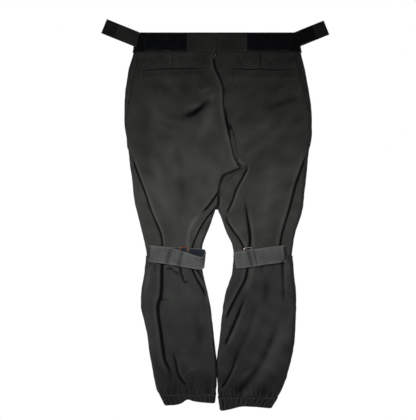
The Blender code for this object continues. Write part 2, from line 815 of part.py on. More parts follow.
def add_fly():
    """Makes the flap over the zip, the shield behind it and the stop at its bottom."""
    top, bottom = BAND_BOTTOM - GAP, FLY_BOTTOM
    root = FLAP_REACH - FLAP_WIDTH
    low = HALF_DEPTH + GAP
    high = HALF_DEPTH + FLAP_LIFT
    step = root + FLAP_WIDTH / 3
    profile = [
        (root, low), (root, low + TWILL), (step, high + TWILL), (FLAP_REACH, high + TWILL),
        (FLAP_REACH, high), (step, high),
    ]
    pivot = (root, low + TWILL / 2, top)
    prism("fly_flap", profile, bottom, top, upright, TWILL_FINISH, pivot)
    back = SLIDER_BACK - SHIELD_SPACE
    outline = box_outline(-SHIELD_WIDTH / 2, SHIELD_WIDTH / 2, bottom, top)
    prism("fly_shield", outline, back - TWILL, back, across, TWILL_FINISH)
    half = CHAIN_SPLIT + TOOTH_WIDTH
    stop = box_outline(-half, half, CHAIN_BOTTOM - GAP - STOP_LENGTH, CHAIN_BOTTOM - GAP)
    depth = TOOTH_DEPTH / 2
    prism("zip_stop", stop, CHAIN_Y - depth, CHAIN_Y + depth, across, ZIP_METAL_FINISH)


def add_waist_button(left_front):
    """Makes the underlap, the button sewn on it and the buttonhole in the left band."""
    inside = FRONT_FACE - BAND_THICKNESS - GAP
    outline = box_outline(-UNDERLAP_REACH, UNDERLAP_REACH, BAND_BOTTOM, 0.0)
    prism("band_underlap", outline, inside - BAND_THICKNESS, inside, across, TWILL_FINISH)
    z = BAND_BOTTOM / 2
    x = -BUTTON_FROM_MIDDLE
    face = FRONT_FACE + GAP
    shank_end = inside + GAP - face
    profile = [
        (0, shank_end), (SHANK_RADIUS, shank_end), (SHANK_RADIUS, 0), (BUTTON_RADIUS, 0),
        (BUTTON_RADIUS, BUTTON_THICKNESS * 0.7), (BUTTON_RADIUS * 0.85, BUTTON_THICKNESS),
        (BUTTON_RADIUS * 0.55, BUTTON_THICKNESS * 0.75), (0, BUTTON_THICKNESS * 0.75),
    ]
    lathe("waist_button", profile, (x, face, z), BUTTON_FINISH)
    slot = box_outline(
        x - BUTTONHOLE_LENGTH / 2, x + BUTTONHOLE_LENGTH / 2,
        z - BUTTONHOLE_WIDTH / 2, z + BUTTONHOLE_WIDTH / 2,
    )
    cutter = prism(
        "buttonhole_cutter", slot, FRONT_FACE - 2 * BAND_THICKNESS, FRONT_FACE + BAND_THICKNESS,
        across, TWILL_FINISH,
    )
    cutter.hide_render = True
    cutter.display_type = "WIRE"
    cut = left_front.modifiers.new("buttonhole", "BOOLEAN")
    cut.operation = "DIFFERENCE"
    cut.object = cutter


# Knee straps ------------------------------------------------------------------------

UNDER_FACE = GAP + WEBBING  # the under layer's outer face, behind the leg
OVER_FACE = UNDER_FACE + STRAP_SPACE  # the free end's inner face
FOLD_CENTRE = UNDER_FACE + STRAP_SPACE / 2
FOLD_INNER = STRAP_SPACE / 2
FOLD_OUTER = FOLD_INNER + WEBBING
FOLD_STEPS = 6


def on_strap(side):
    """Returns a placer: (length from the strap's inner end, distance behind the leg, width)."""
    cosine, sine = math.cos(STRAP_TILT), math.sin(STRAP_TILT)
    outer_end_x = STRAP_OUTER_END[side]
    length = strap_length(side)

    def place(along, behind, width):
        back = length - along
        distance = outer_end_x - back * cosine + width * sine
        z = -STRAP_TOP_DROP - back * sine - width * cosine
        return (SIDES[side] * distance, -KNEE_HALF_DEPTH - behind, z)

    return place


def strap_length(side):
    """Returns the folded strap's length, from its fold to its sewn end."""
    return (STRAP_OUTER_END[side] - STRAP_INNER_END[side]) / math.cos(STRAP_TILT)


def arc(centre, radius, start, end, steps=FOLD_STEPS):
    """Returns points of an arc, its angles in degrees."""
    angles = np.radians(np.linspace(start, end, steps + 1))
    return [(centre[0] + radius * math.cos(a), centre[1] + radius * math.sin(a)) for a in angles]


def add_knee_strap(side):
    """Makes the sewn layer with its fold, and the free end with its hook tape."""
    place = on_strap(side)
    length = strap_length(side)
    centre = (FOLD_OUTER, FOLD_CENTRE)
    profile = [
        (length, UNDER_FACE),
        *arc(centre, FOLD_INNER, 270, 90),
        *arc(centre, FOLD_OUTER, 90, 270),
        (length, GAP),
    ]
    prism(f"knee_strap_{side}", profile, 0, STRAP_WIDTH, place, WEBBING_FINISH)
    root = FOLD_OUTER + GAP
    pivot = place(root, OVER_FACE + WEBBING, 0)  # at the outer face, so that the end swings clear
    tip = length - STRAP_TIP_SHORT
    outline = [
        (root, 0), (tip, 0), (tip, STRAP_WIDTH - STRAP_MITRE),
        (tip - STRAP_MITRE, STRAP_WIDTH), (root, STRAP_WIDTH),
    ]

    def flat(along, width, behind):
        return place(along, behind, width)

    strap_end = prism(
        f"strap_end_{side}", outline, OVER_FACE, OVER_FACE + WEBBING, flat,
        WEBBING_FINISH, pivot,
    )
    stop = tip - STRAP_MITRE - STRAP_HOOK_MARGIN
    hook_outline = box_outline(
        stop - STRAP_HOOK_LENGTH, stop, STRAP_HOOK_MARGIN, STRAP_WIDTH - STRAP_HOOK_MARGIN
    )
    hook = prism(
        f"strap_hook_{side}", hook_outline, OVER_FACE - GAP - TAPE_THICKNESS,
        OVER_FACE - GAP, flat, HOOK_FINISH, pivot,
    )
    hold(hook, strap_end)


def ring_centreline(side):
    """Returns the ring's wire as (along, width), from its keeper bar round to its free bar."""
    low, high = -RING_MARGIN - RING_WIRE_RADIUS, STRAP_WIDTH + RING_MARGIN + RING_WIRE_RADIUS
    start = RING_FROM_INNER_END[side]
    end = start + RING_WIDTH
    c = RING_CORNER
    return [
        *arc((end - c, high - c), c, 0, 90, 3),
        *arc((start + c, high - c), c, 90, 180, 3),
        *arc((start + c, low + c), c, 180, 270, 3),
        *arc((end - c, low + c), c, 270, 360, 3),
    ]


def add_ring(side):
    """Makes the wire ring on the sewn layer and the webbing loop that keeps it there."""
    place = on_strap(side)
    height = UNDER_FACE + RING_LIFT + RING_WIRE_RADIUS
    line = [place(a, height, w) for a, w in ring_centreline(side)]
    pivot = place(RING_FROM_INNER_END[side] + RING_WIDTH, height, 0)
    curve = bpy.data.curves.new(f"knee_ring_{side}", "CURVE")
    curve.dimensions = "3D"
    curve.bevel_depth = RING_WIRE_RADIUS
    curve.bevel_resolution = 1
    spline = curve.splines.new("POLY")
    spline.points.add(len(line) - 1)
    for point, position in zip(spline.points, line):
        point.co = (*(np.array(position) - np.array(pivot)), 1.0)
    spline.use_cyclic_u = True
    curve.materials.append(principled(COPPER_FINISH))
    ring = bpy.data.objects.new(f"knee_ring_{side}", curve)
    ring.location = pivot
    bpy.context.scene.collection.objects.link(ring)
    bar = RING_FROM_INNER_END[side] + RING_WIDTH
    inner = RING_WIRE_RADIUS + KEEPER_CLEARANCE
    outer = inner + KEEPER_WALL
    foot = UNDER_FACE + GAP
    profile = [
        (bar + inner, foot),
        *arc((bar, height), inner, 0, 180),
        (bar - inner, foot), (bar - outer, foot),
        *arc((bar, height), outer, 180, 0),
        (bar + outer, foot),
    ]
    middle = STRAP_WIDTH / 2
    start, end = middle - KEEPER_LENGTH / 2, middle + KEEPER_LENGTH / 2
    prism(f"ring_keeper_{side}", profile, start, end, place, WEBBING_FINISH)


def main():
    """Clears the scene and makes every piece."""
    for existing in list(bpy.data.objects):
        bpy.data.objects.remove(existing, do_unlink=True)
    for side in SIDES:
        add_seat_and_thighs(side)
        add_gusset(side)
        add_lower_leg(side)
        add_cuff(side)
        add_loop_patch(side)
        add_tab_root(side)
        add_waist_tab(side)
        add_pockets(side)
        add_zip_chain(side)
        add_knee_strap(side)
        add_ring(side)
    left_front = add_waistband("left")
    add_waistband("right")
    add_waist_button(left_front)
    add_label()
    add_slider()
    add_fly()


main()
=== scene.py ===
"""Strapped work trousers in washed black twill, seen from the back.

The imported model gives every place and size. This script builds the cloth around it: panels with
their seams and folds, the waistband with its hook-and-loop tabs, knee straps on wire rings, and
gathered cuffs. Lengths are in metres; the outlines of seams and folds are in millimetres.
"""
import json
import logging
import math
from dataclasses import dataclass, replace
from enum import Enum
from typing import Callable, Sequence

import bpy
import numpy as np
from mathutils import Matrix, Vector


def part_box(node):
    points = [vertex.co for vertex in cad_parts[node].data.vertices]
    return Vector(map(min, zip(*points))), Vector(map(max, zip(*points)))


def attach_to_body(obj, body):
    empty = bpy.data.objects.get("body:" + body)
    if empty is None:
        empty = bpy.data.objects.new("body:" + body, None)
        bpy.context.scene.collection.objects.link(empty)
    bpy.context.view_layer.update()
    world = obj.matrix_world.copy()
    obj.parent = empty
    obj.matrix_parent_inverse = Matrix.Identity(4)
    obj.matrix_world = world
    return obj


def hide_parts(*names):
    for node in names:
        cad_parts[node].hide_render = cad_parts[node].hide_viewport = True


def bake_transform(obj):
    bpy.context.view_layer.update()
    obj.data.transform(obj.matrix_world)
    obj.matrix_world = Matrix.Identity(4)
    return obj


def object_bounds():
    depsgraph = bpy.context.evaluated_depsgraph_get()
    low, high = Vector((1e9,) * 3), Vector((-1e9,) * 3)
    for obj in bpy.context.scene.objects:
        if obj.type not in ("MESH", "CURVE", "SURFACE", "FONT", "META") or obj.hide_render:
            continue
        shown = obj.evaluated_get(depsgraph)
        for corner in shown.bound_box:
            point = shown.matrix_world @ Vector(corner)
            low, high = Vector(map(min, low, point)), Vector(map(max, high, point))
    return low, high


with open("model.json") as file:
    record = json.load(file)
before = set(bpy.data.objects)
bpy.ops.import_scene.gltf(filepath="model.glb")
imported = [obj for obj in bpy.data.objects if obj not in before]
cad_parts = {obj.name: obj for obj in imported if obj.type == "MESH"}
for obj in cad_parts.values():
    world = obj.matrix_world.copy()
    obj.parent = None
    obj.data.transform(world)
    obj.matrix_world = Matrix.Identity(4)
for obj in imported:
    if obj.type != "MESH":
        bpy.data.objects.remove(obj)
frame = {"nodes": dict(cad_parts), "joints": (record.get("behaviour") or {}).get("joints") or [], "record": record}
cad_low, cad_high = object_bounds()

Array = np.ndarray
Points = Sequence[tuple[float, float]]
Edge = Callable[[Array], Array]  # a seam's arc position at each height
Row = tuple[Array, Array]  # a row of stitches: its points and the cloth's normals there
Piece = bpy.types.Object
Finish = bpy.types.Material
Tree = bpy.types.NodeTree
Socket = bpy.types.NodeSocket
MM = 0.001
POCKET_INSET = 6 * MM  # how far a pocket bag lies clear of its node
log = logging.getLogger("trousers")


# Curves and fields ------------------------------------------------------------------


def smooth(t: Array) -> Array:
    """Returns 3t^2 - 2t^3 of t held between 0 and 1."""
    t = np.clip(t, 0.0, 1.0)
    return t * t * (3 - 2 * t)


def hermite(at: Array, knots: Array, values: Array) -> Array:
    """Reads a smooth curve through values at knots: a cubic between each two, with central slopes.

    Args:
        at: Where the curve is read.
        knots: Rising positions of the values.
        values: One number or one row of numbers for each knot.

    Returns:
        The curve at each place.
    """
    knots, values = np.asarray(knots, float), np.asarray(values, float)
    slopes = np.gradient(values, knots, axis=0)
    i = np.clip(np.searchsorted(knots, at) - 1, 0, len(knots) - 2)
    width = knots[i + 1] - knots[i]
    t = np.clip((at - knots[i]) / width, 0, 1)
    if values.ndim > 1:
        width, t = width[..., None], t[..., None]
    rise, fall = t * (1 - t) ** 2 * width, t * t * (t - 1) * width
    return (
        (1 + 2 * t) * (1 - t) ** 2 * values[i] + rise * slopes[i]
        + t * t * (3 - 2 * t) * values[i + 1] + fall * slopes[i + 1]
    )


def line_through(points: Points, count: int = 32) -> Array:
    """Returns a smooth line through points in millimetres, evenly stepped, in metres."""
    corners = np.array(points, float) * MM
    steps = np.hypot(*np.diff(corners, axis=0).T)
    knots = np.concatenate([[0], np.cumsum(steps)])
    return hermite(np.linspace(0, knots[-1], count), knots, corners)


def across_at(points: Points, side: int = 1) -> Edge:
    """Returns a seam's distance from the middle as a function of height.

    Args:
        points: The seam as (x, z) in millimetres, from top to bottom.
        side: The sign of X on that half; the distance grows outwards.

    Returns:
        A function of z in metres.
    """
    x, z = np.array(points, float).T * MM
    return lambda height: hermite(-height, -z, side * x)


def soft_noise(x: Array, z: Array, size: float, seed: int, waves: int = 16) -> Array:
    """Returns a sum of cosine waves of random direction and phase, about one high and `size` long."""
    rng = np.random.default_rng(seed)
    total = np.zeros_like(x)
    for angle, stretch, phase in zip(
        rng.uniform(0, math.pi, waves), rng.uniform(0.7, 1.5, waves), rng.uniform(0, math.tau, waves)
    ):
        step = math.tau / (size * stretch)
        total += np.cos(step * (x * math.cos(angle) + z * math.sin(angle)) + phase)
    return total / math.sqrt(waves)


def beside(x: Array, z: Array, line: Array) -> tuple[Array, Array]:
    """Measures points against a line.

    Returns:
        The signed distance, positive on the right of a line that runs down, and the share of the
        line's length at the nearest point.
    """
    start, step = line[:-1], np.diff(line, axis=0)
    length = np.hypot(*step.T)
    gap = np.stack([x, z], -1)[:, None, :] - start
    t = np.clip((gap * step).sum(-1) / length**2, 0, 1)
    gap -= t[..., None] * step
    away = np.hypot(gap[..., 0], gap[..., 1])
    nearest = away.argmin(1)
    rows = np.arange(len(x))
    turn = step[nearest, 0] * gap[rows, nearest, 1] - step[nearest, 1] * gap[rows, nearest, 0]
    before = np.concatenate([[0], np.cumsum(length)])
    share = (before[nearest] + t[rows, nearest] * length[nearest]) / before[-1]
    return np.where(turn < 0, -1.0, 1.0) * away[rows, nearest], share


@dataclass(frozen=True)
class Fold:
    """A line along which the cloth is creased, ridged or lies over itself. Sizes in millimetres."""

    path: Points
    depth: float = 2.0  # of the groove; below zero it is a ridge
    width: float = 3.0  # half the groove's width
    rise: float = 0.0  # how far the cloth on the lifted side stands up
    reach: float = 22.0  # over which that side falls back
    lifted: int = 1  # 1 is the right-hand side of a line that runs down
    shade: float = 0.6  # painted shade: how much darker the colour is drawn in the groove; below zero a painted highlight on a ridge
    ends: tuple[float, float] = (0.2, 0.2)  # share of the length over which each end fades

    def add(self, x: Array, z: Array, height: Array, tone: Array) -> None:
        """Adds the fold to height and tone: a Gaussian groove and a step that decays sideways. The tone gets
        painted shade in the groove, turned to a painted highlight where shade is below zero, and a painted
        highlight on the lifted side's crest.
        """
        line = line_through(self.path)
        margin = (3 * self.width + 3 * self.reach * (self.rise != 0)) * MM
        low, high = line.min(0) - margin, line.max(0) + margin
        near = (x > low[0]) & (x < high[0]) & (z > low[1]) & (z < high[1])
        if not near.any():
            return
        s, share = beside(x[near], z[near], line)
        s = s / MM * self.lifted
        fade = smooth(share / self.ends[0]) * smooth((1 - share) / self.ends[1])
        groove = np.exp(-((s / self.width) ** 2))
        dark = np.exp(-((s / (0.62 * self.width)) ** 2))
        step = 1 / (1 + np.exp(-np.clip(3 * s / self.width, -30, 30)))
        lifted = self.rise * step * np.exp(-np.maximum(s, 0) / self.reach)
        height[near] += fade * (lifted - 1.25 * self.depth * groove) * MM
        # Painted highlight on the lifted side's crest; painted shade in the groove, turned to a painted highlight
        # where shade is below zero
        crest = np.exp(-(((s - 1.7 * self.width) / (1.4 * self.width)) ** 2))
        shade = self.shade * (groove if self.shade < 0 else 0.45 * groove + 0.9 * dark)
        tone[near] += fade * (0.2 * self.rise * crest - 1.25 * shade)


@dataclass(frozen=True)
class Relief:
    """How a stretch of cloth stands off its flat pattern."""

    folds: tuple[Fold, ...] = ()
    seed: int = 1
    swell: float = 0.9 * MM
    crumple: float = 0.22 * MM
    extra: Callable[[Array, Array], Array] | None = None

    def at(self, x: Array, z: Array) -> tuple[Array, Array]:
        """Returns the height off the pattern in metres and the tone, about -1 dark to 1 light: random fading, with
        painted shade and painted highlights from the folds and the extra relief.
        """
        flat_x, flat_z = x.ravel(), z.ravel()
        height = self.swell * soft_noise(flat_x, flat_z, 0.11, self.seed)
        height += self.crumple * soft_noise(flat_x, flat_z, 0.026, self.seed + 1)
        tone = 0.08 * soft_noise(flat_x, flat_z, 0.045, self.seed + 2)
        tone += 0.07 * soft_noise(flat_x, flat_z, 0.13, self.seed + 3)
        for fold in self.folds:
            fold.add(flat_x, flat_z, height, tone)
        if self.extra:
            bump = self.extra(flat_x, flat_z)
            height += bump
            # painted shade in the dips of the extra relief and painted highlight on its crests
            tone += 0.45 * bump / MM
        return height.reshape(x.shape), tone.reshape(x.shape)


# The body of the trousers, read from the frame --------------------------------------


class Side(Enum):
    """The wearer's left is at -X."""

    LEFT = -1
    RIGHT = 1

    @property
    def word(self) -> str:
        """Returns the ending of this side's names."""
        return self.name.lower()


class Wrap(Enum):
    """Which edges a piece runs round: the outer edge, the inseam, or both."""

    OUTER = (1, 0)
    INNER = (0, 1)
    BOTH = (1, 1)


def node_points(name: str) -> Array:
    """Returns a frame node's vertices."""
    mesh = frame["nodes"][name].data
    flat = np.empty(len(mesh.vertices) * 3, np.float32)
    mesh.vertices.foreach_get("co", flat)
    return flat.reshape(-1, 3).astype(float)


def node_slices(name: str, heights: Array) -> Array:
    """Cuts a node's edges at each height.

    Returns:
        For each height the least |x|, the greatest |x| and the greatest |y|, or nan where there is none.
    """
    mesh = frame["nodes"][name].data
    points = node_points(name)
    ends = np.empty(len(mesh.edges) * 2, np.int32)
    mesh.edges.foreach_get("vertices", ends)
    a, b = points[ends[::2]], points[ends[1::2]]
    drop = np.where(np.abs(b[:, 2] - a[:, 2]) < 1e-9, np.nan, b[:, 2] - a[:, 2])
    t = (heights[:, None] - a[None, :, 2]) / drop
    t = np.where((t >= 0) & (t <= 1), t, np.nan)
    x = np.abs(a[:, 0] + t * (b - a)[:, 0])
    y = np.abs(a[:, 1] + t * (b - a)[:, 1])
    big = np.where(np.isnan(x), 1e9, x), np.where(np.isnan(x), -1e9, x), np.where(np.isnan(y), -1e9, y)
    found = np.stack([big[0].min(1), big[1].max(1), big[2].max(1)], -1)
    return np.where(np.abs(found) > 1e8, np.nan, found)


SHELL_NODES = (
    "waistband_back", "back_panel", "front_panel", "side_panel", "inseam_gusset",
    "lower_leg_back", "cuff_casing",
)
SLICE_STEP = 4 * MM
OUTER_SHARE = 0.42  # the rounded outer edge, as a share of the half depth
INNER_EDGE = 7 * MM  # the rounded inner edge


class Shell:
    """One leg and its half of the seat: a flat back and front with rounded edges.

    At each height the section is a stadium: straight lines at y = -depth and +depth, a half
    ellipse round the outer edge and, below the seat, a half ellipse round the inseam.
    """

    def __init__(self, side: Side) -> None:
        """Reads the outline of the frame's nodes on this side and smooths it over 8 mm."""
        self.side = side
        nodes = [f"{name}_{side.word}" for name in SHELL_NODES]
        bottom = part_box(nodes[-1])[0][2]
        self.heights = np.arange(bottom + MM, -MM, SLICE_STEP)
        cuts = np.stack([node_slices(name, self.heights) for name in nodes])
        met = ~np.isnan(cuts[..., 0]).all(0)
        self.heights, cuts = self.heights[met], cuts[:, met]
        inner, outer, depth = (
            np.nanmin(cuts[..., 0], 0), np.nanmax(cuts[..., 1], 0), np.nanmax(cuts[..., 2], 0),
        )
        weights = np.exp(-0.5 * (np.arange(-5, 6) / 2.0) ** 2)
        self.inner, self.outer, self.depth = (
            np.convolve(np.pad(line, 5, "edge"), weights / weights.sum(), "valid")
            for line in (inner, outer, depth)
        )
        self.outer += (3.2 if side is Side.RIGHT else 1.6) * MM  # the cloth bags out past its pattern
        self.outer += 2.6 * MM * np.exp(-(((self.heights + 0.47) / 0.11) ** 2))
        if side is Side.LEFT:
            self.outer += 1.6 * MM * smooth((-0.64 - self.heights) / 0.05)
        self.inner = np.maximum(self.inner - 1.5 * MM, 0.2 * MM)

    def sizes(self, z: Array) -> tuple[Array, Array, Array, Array]:
        """Returns where the flat starts and ends, the half depth and the outer edge's length."""
        depth = np.interp(z, self.heights, self.depth)
        outer = np.interp(z, self.heights, self.outer)
        inner = np.interp(z, self.heights, self.inner)
        return inner + INNER_EDGE, outer - OUTER_SHARE * depth, depth, OUTER_SHARE * depth

    def outer_arc(self, z: Array) -> Array:
        """Returns the length of the cloth round the outer edge, from flat to flat."""
        _, _, depth, edge = self.sizes(z)
        return math.pi * np.sqrt((edge**2 + depth**2) / 2)

    def inner_arc(self, z: Array) -> Array:
        """Returns the length of the cloth round the inseam, from flat to flat."""
        depth = self.sizes(z)[2]
        return math.pi * np.sqrt((INNER_EDGE**2 + depth**2) / 2)

    def mirrored(self, arc: Array, z: Array) -> Array:
        """Returns an arc position on the back as seen from the front, or the other way round."""
        return 2 * self.sizes(z)[1] + self.outer_arc(z) - arc

    def inseam(self, z: Array) -> Array:
        """Returns the arc position of the middle of the inseam."""
        return self.sizes(z)[0] - self.inner_arc(z) / 2

    def outseam(self, z: Array) -> Array:
        """Returns the arc position of the middle of the outer edge."""
        return self.sizes(z)[1] + self.outer_arc(z) / 2

    def place(self, arc: Array, z: Array, wrap: Wrap) -> tuple[Array, Array]:
        """Wraps arc positions round the section.

        Args:
            arc: Distance from the middle on the flat back, carried on round the edges.
            z: Heights.
            wrap: Which edges the piece runs round.

        Returns:
            Points and unit normals, each with a last axis of three.
        """
        start, end, depth, edge = self.sizes(z)
        outer_length, inner_length = self.outer_arc(z), self.inner_arc(z)
        round_outer, round_inner = wrap.value
        past_outer = np.maximum(arc - end, 0) * round_outer
        past_inner = np.maximum(start - arc, 0) * round_inner
        outer = np.clip(past_outer / outer_length, 0, 1) * math.pi
        inner = np.clip(past_inner / inner_length, 0, 1) * math.pi
        x = arc - past_outer + past_inner + edge * np.sin(outer) - INNER_EDGE * np.sin(inner)
        x += np.maximum(past_inner - inner_length, 0) - np.maximum(past_outer - outer_length, 0)
        turn = outer + inner
        nx = depth * (np.sin(outer) - np.sin(inner))
        ny = -np.cos(turn) * np.where(inner > 0, INNER_EDGE, edge)
        size, sign = np.hypot(nx, ny), self.side.value
        points = np.stack([sign * x, -depth * np.cos(turn), z + 0 * x], -1)
        return points, np.stack([sign * nx / size, ny / size, 0 * x], -1)


@dataclass(frozen=True)
class Surface:
    """The outside of a stretch of cloth on a shell, on the back or mirrored to the front."""

    shell: Shell
    relief: Relief
    wrap: Wrap = Wrap.OUTER
    lift: float = 0.0
    front: bool = False

    def at(self, arc: Array, z: Array) -> tuple[Array, Array, Array]:
        """Returns points on the cloth, their normals and tones."""
        points, normals = self.shell.place(arc, z, self.wrap)
        if self.front:
            points, normals = points * (1, -1, 1), normals * (1, -1, 1)
        height, tone = self.relief.at(self.shell.side.value * arc, z)
        return points + normals * (height + self.lift)[..., None], normals, tone


# Meshes -----------------------------------------------------------------------------


def show(
    name: str, points: Array, faces: Array, finish: Finish, uv: Array | None = None,
    tone: Array | None = None,
) -> Piece:
    """Makes a mesh object at the origin with its faces pointing out.

    Args:
        name: The piece's name.
        points: Vertices, (n, 3).
        faces: Corner numbers, (m, 3) or (m, 4).
        finish: Its material.
        uv: Lengths along the cloth in metres for each vertex.
        tone: How light or dark the cloth is drawn at each vertex: fading, painted shade and painted highlights.

    Returns:
        The object.
    """
    a, b, c = (points[faces[:, i]] for i in range(3))
    volume = np.einsum("ij,ij->", a, np.cross(b, c))
    if faces.shape[1] == 4:
        volume += np.einsum("ij,ij->", a, np.cross(c, points[faces[:, 3]]))
    if volume < 0:
        faces = faces[:, ::-1]
    mesh = bpy.data.meshes.new(name)
    mesh.vertices.add(len(points))
    mesh.vertices.foreach_set("co", points.astype(np.float32).ravel())
    mesh.loops.add(faces.size)
    mesh.loops.foreach_set("vertex_index", faces.astype(np.int32).ravel())
    mesh.polygons.add(len(faces))
    mesh.polygons.foreach_set("loop_start", np.arange(0, faces.size, faces.shape[1], dtype=np.int32))
    mesh.update(calc_edges=True)
    mesh.validate()
    mesh.polygons.foreach_set("use_smooth", np.ones(len(mesh.polygons), bool))
    mesh.set_sharp_from_angle(angle=math.radians(50))
    corners = np.empty(len(mesh.loops), np.int32)
    mesh.loops.foreach_get("vertex_index", corners)
    layer = mesh.uv_layers.new(name="cloth")
    lengths = points[:, [0, 2]] if uv is None else uv
    layer.data.foreach_set("uv", lengths[corners].astype(np.float32).ravel())
    shade = mesh.attributes.new("tone", "FLOAT", "POINT")
    shade.data.foreach_set("value", (np.zeros(len(points)) if tone is None else tone).astype(np.float32))
    mesh.materials.append(finish)
    piece = bpy.data.objects.new(name, mesh)
    bpy.context.scene.collection.objects.link(piece)
    return piece


def slab_faces(rows: int, columns: int, closed: bool) -> Array:
    """Returns the faces of two grids of the same size joined round their rims."""
    number = np.arange(rows * columns).reshape(rows, columns)
    if closed:
        number = np.concatenate([number, number[:, :1]], 1)
    a, b, c, d = number[:-1, :-1], number[1:, :-1], number[1:, 1:], number[:-1, 1:]
    outer = np.stack([a, b, c, d], -1).reshape(-1, 4)
    if closed:
        rims = [number[0], number[-1, ::-1]]
    else:
        rims = [np.concatenate([number[0], number[1:, -1], number[-1, -2::-1], number[-2::-1, 0]])]
    size = rows * columns
    sides = [np.stack([r[:-1], r[1:], r[1:] + size, r[:-1] + size], -1) for r in rims]
    return np.concatenate([outer, outer[:, ::-1] + size, *sides])


def slab(
    name: str, outer: Array, inner: Array, finish: Finish, uv: Array,
    tone: Array | None = None, closed: bool = False,
) -> Piece:
    """Joins an outer and an inner grid of points into one closed sheet."""
    rows, columns = outer.shape[:2]
    points = np.concatenate([outer.reshape(-1, 3), inner.reshape(-1, 3)])
    lengths = np.tile(uv.reshape(-1, 2), (2, 1))
    shades = None if tone is None else np.tile(tone.ravel(), 2)
    return show(name, points, slab_faces(rows, columns, closed), finish, lengths, shades)


def spread(count: int, ends: float = 0.6) -> Array:
    """Returns shares from 0 to 1 that lie closer together near both ends."""
    t = np.linspace(0, 1, count)
    return t - ends * np.sin(math.tau * t) / math.tau


def rolled(distance: Array, radius: float) -> Array:
    """Returns how far a rounded edge falls away: a quarter circle of that radius."""
    if radius <= 0:
        return np.zeros_like(distance)
    short = radius - np.clip(distance, 0, radius)
    return radius - np.sqrt(radius**2 - short**2)


@dataclass(frozen=True)
class Edges:
    """Radii of a panel's turned edges: at its start, its stop, its top and its bottom."""

    start: float = 1.5 * MM
    stop: float = 1.5 * MM
    top: float = 1.0 * MM
    bottom: float = 1.0 * MM


def panel(
    name: str, surface: Surface, rows: tuple[float, float], start: Edge,
    stop: Edge, finish: Finish, *, pitch: float = 2.6 * MM,
    edges: Edges = Edges(), thickness: float = 1.4 * MM,
) -> Piece:
    """Makes a panel of cloth between two seams.

    Args:
        name: The piece's name.
        surface: Where the cloth lies.
        rows: Its top and bottom.
        start: The arc position of its first seam at each height.
        stop: The arc position of its last seam.
        finish: Its material.
        pitch: The grid's step.
        edges: How its edges turn in.
        thickness: Of the cloth.

    Returns:
        The piece, a closed sheet.
    """
    top, bottom = rows
    z = top + (bottom - top) * spread(max(int((top - bottom) / pitch), 4), 0.4)
    first, last = start(z), stop(z)
    share = spread(max(int(np.max(np.abs(last - first)) / pitch), 6))
    arc = first[:, None] + (last - first)[:, None] * share
    height = np.repeat(z[:, None], len(share), 1)
    points, normals, tone = surface.at(arc, height)
    width = np.abs(last - first)[:, None]
    fall = rolled(share * width, edges.start) + rolled((1 - share) * width, edges.stop)
    fall += rolled(top - height, edges.top) + rolled(height - bottom, edges.bottom)
    points = points - normals * fall[..., None]
    inner = points - normals * thickness
    uv = np.stack([arc, height], -1)
    # painted shade where the turned edges fall away
    tone = tone - 0.25 * fall / MM
    return slab(name, points, inner, finish, uv, tone)


# Stitches lie as short rounded bars: two tips and two square rings
BAR = np.array(
    [(-1, 0, 0)] + [(x, y, z) for x in (-0.7, 0.7) for y, z in ((1, 0), (0, 1), (-1, 0), (0, -1))]
    + [(1, 0, 0)], float,
)
BAR_FACES = np.array(
    [(0, 1 + i, 1 + (i + 1) % 4) for i in range(4)]
    + [(1 + i, 5 + i, 5 + (i + 1) % 4) for i in range(4)]
    + [(1 + i, 5 + (i + 1) % 4, 1 + (i + 1) % 4) for i in range(4)]
    + [(9, 5 + (i + 1) % 4, 5 + i) for i in range(4)]
)


def stitches(
    name: str, lines: Sequence[Row], finish: Finish,
    pitch: float = 4.2 * MM, length: float = 2.9 * MM, radius: float = 0.45 * MM,
) -> Piece:
    """Lays a row of stitches along each line.

    Args:
        name: The piece's name.
        lines: For each row its points and the cloth's normals there.
        finish: The thread's material.
        pitch: From one stitch to the next.
        length: Of a stitch.
        radius: Of the thread, drawn about twice as thick as real so that it shows.

    Returns:
        All the rows as one piece.
    """
    placed = []
    for points, normals in lines:
        steps = np.linalg.norm(np.diff(points, axis=0), axis=1)
        travelled = np.concatenate([[0], np.cumsum(steps)])
        at = np.arange(pitch / 2, travelled[-1], pitch)
        centre = np.stack([np.interp(at, travelled, points[:, i]) for i in range(3)], -1)
        up = np.stack([np.interp(at, travelled, normals[:, i]) for i in range(3)], -1)
        ahead = np.stack([np.interp(at + MM, travelled, points[:, i]) for i in range(3)], -1)
        back = np.stack([np.interp(at - MM, travelled, points[:, i]) for i in range(3)], -1)
        along = ahead - back
        along /= np.linalg.norm(along, axis=1)[:, None]
        across = np.cross(up, along)
        across /= np.linalg.norm(across, axis=1)[:, None]
        up = np.cross(along, across)
        bar = BAR * (length / 2, radius, radius)
        placed.append(
            centre[:, None] + bar[:, 0, None] * along[:, None] + bar[:, 1, None] * across[:, None]
            + bar[:, 2, None] * up[:, None]
        )
    points = np.concatenate(placed)
    faces = BAR_FACES[None] + len(BAR) * np.arange(len(points))[:, None, None]
    return show(name, points.reshape(-1, 3), faces.reshape(-1, 3), finish)


